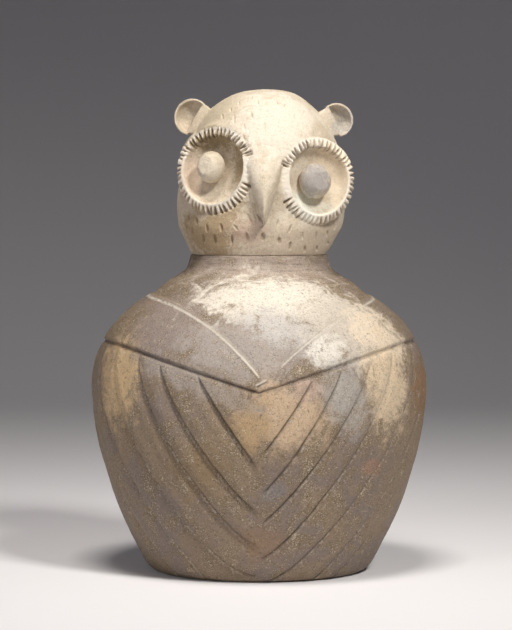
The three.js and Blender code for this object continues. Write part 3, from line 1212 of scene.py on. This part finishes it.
    def ear_form(self, ear: Ear) -> list[Piece]:
        """An ear's half cup and the stem that it stands on.

        Args:
            ear: The ear.

        Returns:
            The cup and the stem, in their place on the head.
        """
        bowl = []
        for radius, depth in ((ear.radius, 15.0), (ear.radius - 2.3, 12.6)):
            arc = np.linspace(-math.pi / 2.0, 0.0, 13)
            bowl.append(np.stack([radius * np.cos(arc), depth * np.sin(arc)], axis=1))
        cup = turned_form("ear_cup", np.vstack([bowl[0], bowl[1][::-1]]), columns=72)
        inner = -ear.side.value
        slice_off(cup, (inner * ear.chord, 0.0, 0.0), (inner, 0.0, 0.0))
        bpy.ops.mesh.primitive_cube_add(size=2.0 * MM)
        stem = bpy.context.object
        stem.name = "ear_stem"
        corners = points_of(stem)
        inward = corners[:, 0] > 0.0
        upper = corners[:, 1] > 0.0
        front = corners[:, 2] > 0.0
        reach = np.where(upper, ear.stem[0], ear.stem[1]) + 6.0
        corners[:, 0] = inner * np.where(inward, reach, ear.chord - 2.4)
        corners[:, 1] = np.where(upper, ear.radius - 1.5, -ear.radius + 2.5)
        corners[:, 1] *= np.where(inward, 0.86, 1.0)
        corners[:, 2] = np.where(front, -0.2, -15.0) - np.where(inward & front, 1.6, 0.0)
        move_points(stem, corners)
        close_up(stem)
        turn = Euler((math.radians(84.0), 0.0, math.radians(ear.yaw)), "XYZ").to_matrix().to_4x4()
        tilt = Matrix.Rotation(math.radians(-ear.lean), 4, "Z")
        where = Matrix.Translation(Vector(ear.place) * MM) @ turn @ tilt
        for form in (cup, stem):
            place(form, where)
        return [cup, stem]

    def notches(self, eye: Eye, angle: np.ndarray, reach: np.ndarray) -> np.ndarray:
        """How deep the rim is notched at places on it, from 0 to about 1.

        Args:
            eye: The eye whose rim it is.
            angle: Degrees from the viewer's right, anticlockwise.
            reach: Millimetres from the dish's middle.

        Returns:
            The depth at each place.
        """
        chance = np.random.default_rng(eye.seed)
        out = (reach - self.lip) / (self.rim - self.lip)
        share = np.clip(out, 0.0, 1.0)
        # On the rim's upper half the notches open towards the ball, and below away from it.
        inwards = smooth_step(0.2, 0.7, np.sin(np.radians(angle)))
        spread = inwards * (1.0 - 0.8 * share) + (1.0 - inwards) * (0.18 + 0.82 * share)
        from_inside = smooth_step(0.95, 0.45, out)
        from_outside = smooth_step(0.12, 0.5, out)
        ends = inwards * from_inside + (1.0 - inwards) * from_outside
        ends *= smooth_step(-0.55, -0.1, out) * smooth_step(1.3, 1.02, out)
        pitch = 360.0 / eye.teeth
        depth = np.zeros_like(angle)
        for tooth in range(eye.teeth):
            middle = (tooth + chance.uniform(-0.2, 0.2)) * pitch
            width = self.notch_width * chance.uniform(0.8, 1.2)
            deep = chance.uniform(0.65, 1.15)
            start, end = eye.smooth_side
            if (middle - start) % 360.0 < (end - start) % 360.0:
                deep *= 0.1
            skew = chance.uniform(-3.0, 3.0) * (out - 0.5)
            off = np.radians(np.abs(wrapped(angle - middle - skew))) * reach
            pressed = deep * np.clip(1.0 - off / (width * spread + 0.2), 0.0, 1.0) ** 0.9
            depth = np.maximum(depth, pressed)
        for middle in eye.splits:
            off = np.radians(np.abs(wrapped(angle - middle))) * reach
            depth = np.maximum(depth, 1.5 * np.clip(1.0 - off / 1.1, 0.0, 1.0))
        return depth * ends

    def press_rims(self, head: Piece) -> tuple[np.ndarray, np.ndarray]:
        """Fills in the brow over the eyes' rims and presses the notches into them.

        Args:
            head: The head's mesh object.

        Returns:
            How deep in a notch, and how far up on a tooth, each point is, from 0 to 1.
        """
        points = points_of(head)
        pressed, teeth = np.zeros(len(points)), np.zeros(len(points))
        for eye in self.eyes:
            to_dish = np.array(eye.matrix().inverted())
            local = points @ to_dish[:3, :3].T + to_dish[:3, 3] / MM
            reach = np.hypot(local[:, 0], local[:, 1])
            near = (reach > self.lip - 7.0) & (reach < self.rim + 9.0)
            near &= np.abs(local[:, 2]) < 14.0
            angle = np.degrees(np.arctan2(local[near, 1], local[near, 0]))
            inner = angle * (1.0 if eye.yaw < 0.0 else -1.0) % 360.0
            # The clay of the brow comes up to the rim, so that the teeth stand on it.
            brow = smooth_step(0.15, 0.6, np.sin(np.radians(angle)))
            brow *= smooth_step(160.0, 130.0, inner)
            filled = brow * smooth_step(self.rim + 9.0, self.rim - 1.0, reach[near])
            low = np.clip(-1.0 - local[near, 2], 0.0, 9.0)
            low *= smooth_step(self.lip + 2.0, self.rim - 3.0, reach[near])
            out_of_dish = np.array(eye.matrix().to_3x3())[:, 2]
            points[near] += (filled * low)[:, None] * out_of_dish
            notch = self.notches(eye, angle, reach[near])
            notch *= smooth_step(-11.0, -2.5, local[near, 2])
            points[near] -= self.notch_depth * notch[:, None] * out_of_dish
            pressed[near] = np.maximum(pressed[near], notch)
            # The tops of the teeth, between the notches, take the pale deposit with painted
            # highlight.
            on_rim = smooth_step(self.lip - 2.0, self.lip + 1.0, reach[near])
            on_rim *= smooth_step(self.rim + 1.0, self.rim - 2.0, reach[near])
            on_rim *= smooth_step(-6.0, -2.0, local[near, 2])
            teeth[near] = np.maximum(teeth[near], on_rim * (1.0 - np.clip(2.2 * notch, 0.0, 1.0)))
        move_points(head, points)
        return np.clip(pressed, 0.0, 1.0), teeth

    def press_marks(self, head: Piece) -> np.ndarray:
        """Presses the slots into the face and the crown.

        Args:
            head: The head's mesh object.

        Returns:
            How deep in a slot each point is, from 0 to 1.
        """
        points = points_of(head)
        outward = outward_of(head)
        pressed = np.zeros(len(points))
        for mark in self.marks:
            turn = math.radians(mark.lean)
            x, z = points[:, 0] - mark.x, points[:, 2] - mark.z
            near = (np.abs(x) + np.abs(z) < 16.0) & (outward[:, 1] < 0.35)
            along = x[near] * math.sin(turn) + z[near] * math.cos(turn)
            across = x[near] * math.cos(turn) - z[near] * math.sin(turn)
            across = across / np.maximum(np.abs(outward[near, 1]), 0.45) ** 0.5
            skewed = np.where(across > 0.0, across * 0.8, across * 1.35)
            inside = 1.0 - (2.0 * skewed / mark.width) ** 2 - (2.0 * along / mark.length) ** 2
            pressed[near] = np.maximum(pressed[near], mark.depth * np.clip(inside, 0.0, 1.0) ** 0.7)
        move_points(head, points - outward * pressed[:, None])
        return np.clip(pressed / 1.6, 0.0, 1.0)

    def build(self) -> Piece:
        """Models the head from its parts and joins them into one clay body.

        Returns:
            The head's mesh object.
        """
        skull = self.skull()
        for eye in self.eyes:
            cut_away(skull, self.clearance(eye))
        forms = [skull, self.beak()]
        for eye in self.eyes:
            forms += [self.dish_form(eye), self.ball_form(eye)]
        for ear in self.ears:
            forms += self.ear_form(ear)
        head = join_forms(forms, "owl_head")
        refine(head, "REMESH", mode="VOXEL", voxel_size=self.voxel * MM)
        refine(head, "SMOOTH", factor=0.5, iterations=3)
        for size, rise, depth in self.swells:
            roughen(head, size, rise, depth)
        notches, teeth = self.press_rims(head)
        # The notches and slots are kept for dark earth with painted shade, and the teeth's tops for
        # pale deposit with painted highlight.
        store(head, "cut", np.maximum(0.8 * notches, 0.42 * self.press_marks(head)))
        store(head, "edge_lime_and_highlight", teeth)
        slice_off(head, (0.0, 0.0, self.base), (0.0, 0.0, -1.0))
        thin_out(head, self.triangles)
        cut_away(head, self.hollow())
        return head


# The finishes.


def linear(colour: str) -> tuple[float, float, float, float]:
    """An sRGB colour as the linear values that a shader takes.

    Args:
        colour: The colour, such as "#a08060".

    Returns:
        Its linear red, green and blue, and 1.
    """
    channels = [int(colour[i : i + 2], 16) / 255.0 for i in (1, 3, 5)]
    curve = [c / 12.92 if c <= 0.04045 else ((c + 0.055) / 1.055) ** 2.4 for c in channels]
    return (*curve, 1.0)


def per_metre(size: float) -> float:
    """The scale of a pattern whose features are size millimetres apart."""
    return 1.0 / (size * MM)


def add_node(tree: Tree, kind: str, inputs: dict[Any, Any] | None = None,
             **settings: Any) -> bpy.types.Node:
    """Adds a node with its settings and links.

    Args:
        tree: The material's node tree.
        kind: The node's type.
        inputs: What each input takes, by name or number: a socket to link, or a value.
        **settings: The node's own settings.

    Returns:
        The new node.
    """
    node = tree.nodes.new(kind)
    for name, value in settings.items():
        setattr(node, name, value)
    for key, value in (inputs or {}).items():
        if isinstance(value, Socket):
            tree.links.new(value, node.inputs[key])
        else:
            node.inputs[key].default_value = value
    return node


@dataclass(frozen=True)
class Patch:
    """An area where the surface has another colour; some are painted highlight, and some painted
    shade.

    Args:
        place: Its middle.
        half: Its half width, half depth and half height.
        colour: Its colour.
        strength: How much of the colour shows in its middle.
        turn: Its tilt in degrees, seen from the front.
    """

    place: Triple
    half: Triple
    colour: str
    strength: float
    turn: float = 0.0


@dataclass(frozen=True)
class Grain:
    """A pattern in the clay or on it.

    Args:
        size: How far apart its features are, in millimetres.
        detail: How many finer layers it has.
        harshness: How strong the finer layers are, from 0 to 1.
        swirl: How far it is swirled.
        stretch: How far it is drawn out along X, Y and Z.
    """

    size: float
    detail: float
    harshness: float
    swirl: float = 0.0
    stretch: Triple = (1.0, 1.0, 1.0)


GRAINS = {
    "drift": Grain(size=60.0, detail=6.0, harshness=0.62, swirl=0.4),
    "cloud": Grain(size=24.0, detail=9.0, harshness=0.68, swirl=0.8),
    "mottle": Grain(size=7.5, detail=9.0, harshness=0.72, swirl=0.3),
    "grit": Grain(size=2.9, detail=6.0, harshness=0.76),
    "sand": Grain(size=1.3, detail=3.0, harshness=0.8),
    "rubbing": Grain(size=5.0, detail=6.0, harshness=0.66, swirl=0.2, stretch=(6.0, 6.0, 0.6)),
}

# Which grains stand out of the surface, and how far in millimetres, from the coarsest.
RELIEF = (("mottle", 1.3), ("grit", 1.0), ("sand", 0.5))

# The heights in metres between which the rubbing marks round the neck start.
NECK = (0.285, 0.3)


@dataclass(frozen=True)
class Coat:
    """A coat of colour that follows a pattern.

    Args:
        colour: Its colour.
        low: The pattern's value where it starts, which may be above high.
        high: The value where it is at its thickest.
        most: How much of it there is there, a number or another pattern.
    """

    colour: str
    low: float
    high: float
    most: Any = 1.0

    def lay(self, tree: Tree, under: Any, pattern: Socket) -> Socket:
        """Lays the coat.

        Args:
            tree: The material's node tree.
            under: The colour that it covers.
            pattern: The pattern that it follows.

        Returns:
            The colour with the coat on it.
        """
        share = add_node(tree, "ShaderNodeMapRange", {
            "Value": pattern, "From Min": self.low, "From Max": self.high, "To Min": 0.0,
            "To Max": self.most}, interpolation_type="SMOOTHSTEP")
        coat = add_node(tree, "ShaderNodeMix", {
            0: share.outputs[0], 6: under, 7: linear(self.colour)}, data_type="RGBA")
        return coat.outputs[2]


@dataclass(frozen=True)
class Earthenware:
    """Low-fired clay under a thin slip that was rubbed, buried and worn.

    Args:
        name: The material's name.
        tones: The slip's own three tones, which drift into each other.
        bare: The clay that shows where the slip has worn off.
        pale_lime_and_highlight: The pale deposit that burial left in flecks and on edges, and the
            painted highlight on raised edges.
        soil_and_shade: The dark earth in pits and cut lines, and the painted shade in the cut lines
            and notches.
        roughness: The lowest and highest roughness.
        wear: How much of the slip is worn through, from 0 to 1.
        flecks: How much of the lime there is, from 0 to 1.
        pits: How much dark earth there is in the pits, from 0 to 1.
        rubbed: How strong the rubbing marks round the neck are, from 0 to 1.
        edge_lime_and_highlight_share: How pale the rubbed edges are, with their deposit and painted
            highlight, from 0 to 1.
        patches: The areas of another colour.
    """

    name: str
    tones: tuple[str, str, str]
    bare: str
    pale_lime_and_highlight: str
    soil_and_shade: str
    roughness: Pair
    wear: float
    flecks: float
    pits: float
    rubbed: float
    edge_lime_and_highlight_share: float
    patches: tuple[Patch, ...]

    def make(self) -> bpy.types.Material:
        """Builds the material.

        Returns:
            The finished material.
        """
        material = bpy.data.materials.new(self.name)
        material.use_nodes = True
        tree = material.node_tree
        where = add_node(tree, "ShaderNodeTexCoord").outputs["Object"]
        patterns = {name: self.grow(tree, where, grain) for name, grain in GRAINS.items()}
        colour = self.slip(tree, where, patterns)
        colour = self.burial(tree, colour, patterns)
        shader = tree.nodes["Principled BSDF"]
        tree.links.new(colour, shader.inputs["Base Color"])
        shader.inputs["IOR"].default_value = 1.5
        shader.inputs["Specular IOR Level"].default_value = 0.4
        rough = add_node(tree, "ShaderNodeMapRange", {
            "Value": patterns["mottle"], "From Min": 0.36, "From Max": 0.62,
            "To Min": self.roughness[0], "To Max": self.roughness[1]})
        tree.links.new(rough.outputs[0], shader.inputs["Roughness"])
        surface = None
        for name, height in RELIEF:
            relief = {"Height": patterns[name], "Strength": 0.8, "Distance": height * MM}
            if surface is not None:
                relief["Normal"] = surface
            surface = add_node(tree, "ShaderNodeBump", relief).outputs[0]
        tree.links.new(surface, shader.inputs["Normal"])
        return material

    def grow(self, tree: Tree, where: Socket, grain: Grain) -> Socket:
        """Draws a grain's pattern.

        Args:
            tree: The material's node tree.
            where: The place on the object.
            grain: The grain.

        Returns:
            The pattern's value.
        """
        drawn = add_node(tree, "ShaderNodeMapping", {
            "Vector": where, "Scale": [1.0 / share for share in grain.stretch]})
        pattern = add_node(tree, "ShaderNodeTexNoise", {
            "Vector": drawn.outputs[0], "Scale": per_metre(grain.size), "Detail": grain.detail,
            "Roughness": grain.harshness, "Distortion": grain.swirl})
        return pattern.outputs[0]

    def blended(self, tree: Tree, patterns: Patterns, shares: dict[str, float],
                start: Any = 0.0) -> Socket:
        """Adds patterns up, each with its own share.

        Args:
            tree: The material's node tree.
            patterns: The grains' values by name.
            shares: Each pattern's share.
            start: What they are added to.

        Returns:
            The sum.
        """
        for name, share in shares.items():
            start = add_node(tree, "ShaderNodeMath", {0: patterns[name], 1: share, 2: start},
                             operation="MULTIPLY_ADD").outputs[0]
        return start

    def slip(self, tree: Tree, where: Socket, patterns: Patterns) -> Socket:
        """The slip's colour: its tones, the areas of another colour, some of them painted highlight
        and shade, and the rubbing marks.

        Args:
            tree: The material's node tree.
            where: The place on the object.
            patterns: The grains' values by name.

        Returns:
            The colour.
        """
        first, second, third = self.tones
        colour = Coat(second, low=0.42, high=0.58).lay(tree, linear(first), patterns["drift"])
        colour = Coat(third, low=0.46, high=0.62, most=0.9).lay(tree, colour, patterns["cloud"])
        ragged = {"cloud": 2.4, "mottle": 1.5, "grit": 1.1}
        middle = 0.5 * sum(ragged.values())
        for patch in self.patches:
            local = add_node(tree, "ShaderNodeMapping", {
                "Vector": where, "Location": [v * MM for v in patch.place],
                "Rotation": (0.0, math.radians(patch.turn), 0.0),
                "Scale": [v * MM for v in patch.half]}, vector_type="TEXTURE")
            reach = add_node(tree, "ShaderNodeVectorMath", {0: local.outputs[0]}, operation="LENGTH")
            edge = self.blended(tree, patterns, ragged, reach.outputs["Value"])
            coat = Coat(patch.colour, low=middle + 1.2, high=middle + 0.45, most=patch.strength)
            colour = coat.lay(tree, colour, edge)
        thin = 0.16 * self.wear
        bare = Coat(self.bare, low=0.62 - thin, high=0.74 - thin, most=0.6)
        colour = bare.lay(tree, colour, patterns["mottle"])
        height = add_node(tree, "ShaderNodeSeparateXYZ", {0: where}).outputs[2]
        neck = add_node(tree, "ShaderNodeMapRange", {
            "Value": height, "From Min": NECK[0], "From Max": NECK[1], "To Max": self.rubbed})
        for coat in (Coat(self.soil_and_shade, low=0.5, high=0.34, most=neck.outputs[0]),
                     Coat(self.pale_lime_and_highlight, low=0.54, high=0.7, most=neck.outputs[0])):
            colour = coat.lay(tree, colour, patterns["rubbing"])
        return colour

    def burial(self, tree: Tree, colour: Socket, patterns: Patterns) -> Socket:
        """What burial left on the slip, and painted light on the carving: a pale deposit in flecks
        and on edges, with painted highlight on raised edges, and dark earth in pits and cuts, with
        painted shade in the cuts.

        Args:
            tree: The material's node tree.
            colour: The slip's colour.
            patterns: The grains' values by name.

        Returns:
            The colour with the lime and the soil on it.
        """
        bloom = self.blended(tree, patterns, {"sand": 1.0, "cloud": 0.5, "mottle": 0.4})
        colour = Coat(self.pale_lime_and_highlight, low=1.0, high=1.18, most=self.flecks).lay(tree, colour, bloom)
        dust = self.blended(tree, patterns, {"sand": 0.6, "grit": 0.6})
        colour = Coat(self.soil_and_shade, low=0.6, high=0.42, most=self.pits).lay(tree, colour, dust)
        # The raised edges get the pale deposit with painted highlight, and the cut lines, notches and
        # slots dark earth with painted shade.
        for name, tint, most in (("edge_lime_and_highlight", self.pale_lime_and_highlight, self.edge_lime_and_highlight_share), ("cut", self.soil_and_shade, 0.85)):
            carved = add_node(tree, "ShaderNodeAttribute", attribute_name=name)
            broken = self.blended(tree, patterns, {"grit": 0.7, "cloud": 0.7}, carved.outputs["Fac"])
            colour = Coat(tint, low=0.85, high=1.7, most=most).lay(tree, colour, broken)
        return colour


# What stands around the jar.


@dataclass(frozen=True)
class Lamp:
    """A soft studio lamp.

    Args:
        name: Its name.
        place: Where it is, in metres.
        aim: What it looks at, in metres.
        size: The length of its side, in metres.
        power: Its power in watts.
        spread: How wide its beam is, in degrees.
        colour: Its colour.
    """

    name: str
    place: Triple
    aim: Triple
    size: float
    power: float
    spread: float
    colour: str

    def hang(self) -> None:
        """Hangs the lamp."""
        light = bpy.data.lights.new(self.name, "AREA")
        light.size = self.size
        light.energy = self.power
        light.spread = math.radians(self.spread)
        light.color = linear(self.colour)[:3]
        lamp = bpy.data.objects.new(self.name, light)
        bpy.context.scene.collection.objects.link(lamp)
        lamp.location = self.place
        sight = Vector(self.aim) - Vector(self.place)
        lamp.rotation_euler = sight.to_track_quat("-Z", "Y").to_euler()


@dataclass
class Studio:
    """The floor, the lamps and the camera, in metres.

    Args:
        front: How far forward the floor starts, as its place along Y.
        length: How long the sheet is, with the backdrop.
        half_width: Half its width.
        bend: Where along Y it starts to curve up.
        bend_radius: The radius of that curve.
        eye_level: The camera's height.
        distance: How far in front of the jar's axis it is.
        sideways: How far to the viewer's right it is.
        tilt: Its tilt from level in degrees, below zero downwards.
        lens: Its focal length in millimetres.
    """

    front: float = -3.5
    length: float = 9.0
    half_width: float = 5.0
    bend: float = 2.2
    bend_radius: float = 1.6
    eye_level: float = 0.3946
    distance: float = 2.86
    sideways: float = -0.0033
    tilt: float = -2.6
    lens: float = 157.1

    def set_up(self) -> None:
        """Sets up everything that isn't part of the jar."""
        self.lay_floor()
        self.light()
        self.camera()

    def lay_floor(self) -> None:
        """Lays a pale floor that curves up into a backdrop."""
        bpy.ops.mesh.primitive_grid_add(x_subdivisions=2, y_subdivisions=60, size=2.0)
        floor = bpy.context.object
        floor.name = "studio_floor"
        points = points_of(floor) * MM
        run = (points[:, 1] + 1.0) * 0.5 * self.length + self.front
        radius = self.bend_radius
        angle = np.clip((run - self.bend) / radius, 0.0, math.pi / 2.0)
        extra = np.maximum(run - self.bend - radius * math.pi / 2.0, 0.0)
        back = np.minimum(run, self.bend) + radius * np.sin(angle)
        rise = radius * (1.0 - np.cos(angle)) + extra
        move_points(floor, np.stack([points[:, 0] * self.half_width, back, rise], axis=1) / MM)
        pick(floor)
        bpy.ops.object.shade_smooth()
        paper = bpy.data.materials.new("backdrop_paper")
        paper.use_nodes = True
        shader = paper.node_tree.nodes["Principled BSDF"]
        shader.inputs["Base Color"].default_value = linear("#efedef")
        shader.inputs["Roughness"].default_value = 0.9
        floor.data.materials.append(paper)

    def light(self) -> None:
        """Hangs the lamps: a soft one overhead and a weaker one on each side."""
        lamps = (
            Lamp("overhead", place=(-0.1, -0.85, 2.3), aim=(0.0, 0.0, 0.25), size=0.6, power=11.5,
                 spread=110.0, colour="#fffaf2"),
            Lamp("right", place=(1.1, -1.8, 2.1), aim=(0.0, 0.0, 0.3), size=0.5, power=6.4,
                 spread=60.0, colour="#fffdf8"),
            Lamp("left", place=(-1.5, -2.0, 1.0), aim=(0.0, 0.0, 0.2), size=0.8, power=1.5,
                 spread=60.0, colour="#f7f8ff"),
        )
        for lamp in lamps:
            lamp.hang()
        world = bpy.data.worlds.new("studio")
        world.use_nodes = True
        background = world.node_tree.nodes["Background"]
        background.inputs["Color"].default_value = linear("#a6a3ab")
        background.inputs["Strength"].default_value = 0.17
        bpy.context.scene.world = world
        bpy.context.scene.view_settings.view_transform = "Standard"

    def camera(self) -> None:
        """Sets the camera at the photograph's eye level and distance."""
        data = bpy.data.cameras.new("view")
        data.lens = self.lens
        camera = bpy.data.objects.new("view", data)
        camera.location = (self.sideways, -self.distance, self.eye_level)
        camera.rotation_euler = (math.radians(90.0 + self.tilt), 0.0, 0.0)
        bpy.context.scene.collection.objects.link(camera)
        bpy.context.scene.camera = camera


# Burnished earthenware: an iron-bearing clay with a thin slip, rubbed with a pebble before firing.
# It has a low satin sheen where the slip is whole and is dull and gritty where it is worn.
BODY_CLAY = Earthenware(
    name="burnished_earthenware",
    tones=("#8a7762", "#807167", "#7b684d"),
    bare="#a8957f",
    pale_lime_and_highlight="#d9cfc0",
    soil_and_shade="#44362a",
    roughness=(0.42, 0.78),
    wear=0.35,
    flecks=0.6,
    pits=0.75,
    rubbed=0.4,
    edge_lime_and_highlight_share=0.9,
    patches=(
        Patch((0.0, -60.0, 312.0), (100.0, 90.0, 18.0), "#ab9a8c", 0.85),
        Patch((-86.0, -110.0, 262.0), (62.0, 70.0, 44.0), "#93847c", 0.85, -35.0),
        Patch((-10.0, -150.0, 240.0), (74.0, 70.0, 40.0), "#a89d94", 0.9),
        # Pale ivory slip on the shoulder, made paler with painted light from above.
        Patch((20.0, -110.0, 284.0), (100.0, 74.0, 28.0), "#e4dacb", 1.0, 4.0),
        # Blue-grey slip with a painted sheen on the upper chest.
        Patch((24.0, -130.0, 258.0), (46.0, 70.0, 18.0), "#c4beb8", 0.8, 12.0),
        Patch((88.0, -120.0, 254.0), (56.0, 70.0, 38.0), "#c9beb0", 0.9, 32.0),
        # A painted highlight: the sheen on the right of the cape.
        Patch((66.0, -140.0, 232.0), (22.0, 60.0, 16.0), "#e6dfd4", 0.85, -20.0),
        Patch((122.0, -105.0, 246.0), (42.0, 70.0, 26.0), "#dfcdb6", 0.95, 35.0),
        Patch((126.0, -110.0, 200.0), (26.0, 70.0, 50.0), "#d6c0a2", 0.95, -8.0),
        Patch((-140.0, -100.0, 204.0), (22.0, 70.0, 52.0), "#c7aa82", 0.95, 6.0),
        Patch((28.0, -170.0, 172.0), (46.0, 70.0, 36.0), "#c8ad8e", 0.9, 14.0),
        Patch((-8.0, -170.0, 162.0), (22.0, 70.0, 28.0), "#b2956e", 0.8, 20.0),
        Patch((-70.0, -155.0, 208.0), (88.0, 70.0, 12.0), "#a2978d", 0.65, 23.0),
        Patch((84.0, -145.0, 190.0), (24.0, 70.0, 42.0), "#a8a199", 0.85, -24.0),
        Patch((46.0, -165.0, 198.0), (18.0, 70.0, 14.0), "#bca294", 0.5, -20.0),
        Patch((112.0, -125.0, 116.0), (12.0, 60.0, 10.0), "#a07a62", 0.6),
        Patch((4.0, -150.0, 44.0), (24.0, 60.0, 22.0), "#8e7055", 0.5),
        Patch((-62.0, -140.0, 120.0), (38.0, 60.0, 34.0), "#897150", 0.6, 30.0),
        Patch((14.0, -160.0, 96.0), (14.0, 60.0, 10.0), "#807f80", 0.4, -30.0),
        Patch((166.0, -40.0, 190.0), (20.0, 60.0, 34.0), "#8d6c4a", 0.8),
    ),
)

# Cream slip over buff earthenware: the slip is thick and matte, with fire-clouds and rubbed dirt.
HEAD_CLAY = Earthenware(
    name="cream_slipped_earthenware",
    tones=("#ddd0bc", "#d4c5ae", "#c9b89f"),
    bare="#bfae96",
    pale_lime_and_highlight="#f2ebdf",
    soil_and_shade="#5e4c38",
    roughness=(0.6, 0.85),
    wear=0.2,
    flecks=0.35,
    pits=0.4,
    rubbed=0.0,
    edge_lime_and_highlight_share=0.5,
    patches=(
        # Paler cream on the forehead, with painted light from above.
        Patch((14.0, -70.0, 462.0), (58.0, 80.0, 50.0), "#e3d7c6", 0.95),
        Patch((-50.0, -55.0, 476.0), (36.0, 60.0, 24.0), "#c6b69b", 0.8, -30.0),
        Patch((-52.0, -60.0, 350.0), (50.0, 60.0, 30.0), "#a58a63", 0.8, -15.0),
        Patch((-10.0, -78.0, 352.0), (24.0, 50.0, 18.0), "#c0a594", 0.7),
        Patch((40.0, -60.0, 342.0), (54.0, 60.0, 18.0), "#cbb9a4", 0.8),
        # Painted shade, with a brown tone, on the upper wall and on the wall by the beak in the eye
        # on the viewer's left.
        Patch((-48.0, -52.0, 446.0), (34.0, 24.0, 14.0), "#8d7852", 0.85),
        Patch((-18.0, -60.0, 424.0), (11.0, 22.0, 28.0), "#a0885f", 0.75),
        Patch((-72.0, -36.0, 405.0), (16.0, 24.0, 28.0), "#d0b7a2", 0.6),
        Patch((76.0, -44.0, 424.0), (22.0, 24.0, 28.0), "#ecdabf", 0.7),
        # Greenish-white slip with painted light on the lower left of the dish in the eye on the
        # viewer's right.
        Patch((46.0, -60.0, 380.0), (28.0, 24.0, 16.0), "#e2e1d4", 0.85),
        Patch((57.0, -66.0, 404.0), (21.0, 17.0, 22.0), "#a8a09a", 1.0),
        Patch((-78.0, -8.0, 470.0), (12.0, 16.0, 22.0), "#b5a48c", 0.6),
        Patch((88.0, -8.0, 468.0), (18.0, 16.0, 22.0), "#b3aca4", 0.85),
    ),
)


def dress(piece: Piece, finish: Earthenware, node: str) -> None:
    """Finishes a piece and puts it in its node's place.

    Args:
        piece: The piece's mesh object.
        finish: Its finish.
        node: The frame's node that it stands for.
    """
    piece.data.materials.clear()
    piece.data.materials.append(finish.make())
    pick(piece)
    bpy.ops.object.shade_smooth()
    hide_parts(node)
    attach(piece, "root")
    log.info("%s stands for %s", piece.name, node)


def main() -> None:
    """Builds the jar, its lid and the studio around them."""
    logging.basicConfig(level=logging.INFO, format="%(name)s %(message)s")
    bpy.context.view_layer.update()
    _, jar_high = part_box("jar")
    head_low, head_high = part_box("owl_head_lid")
    Studio().set_up()
    dress(Jar(jar_high[2] / MM).build(), BODY_CLAY, "jar")
    dress(Head(head_low[2] / MM, (head_high[2] - head_low[2]) / MM).build(), HEAD_CLAY,
          "owl_head_lid")


if __name__ == "__main__":
    main()
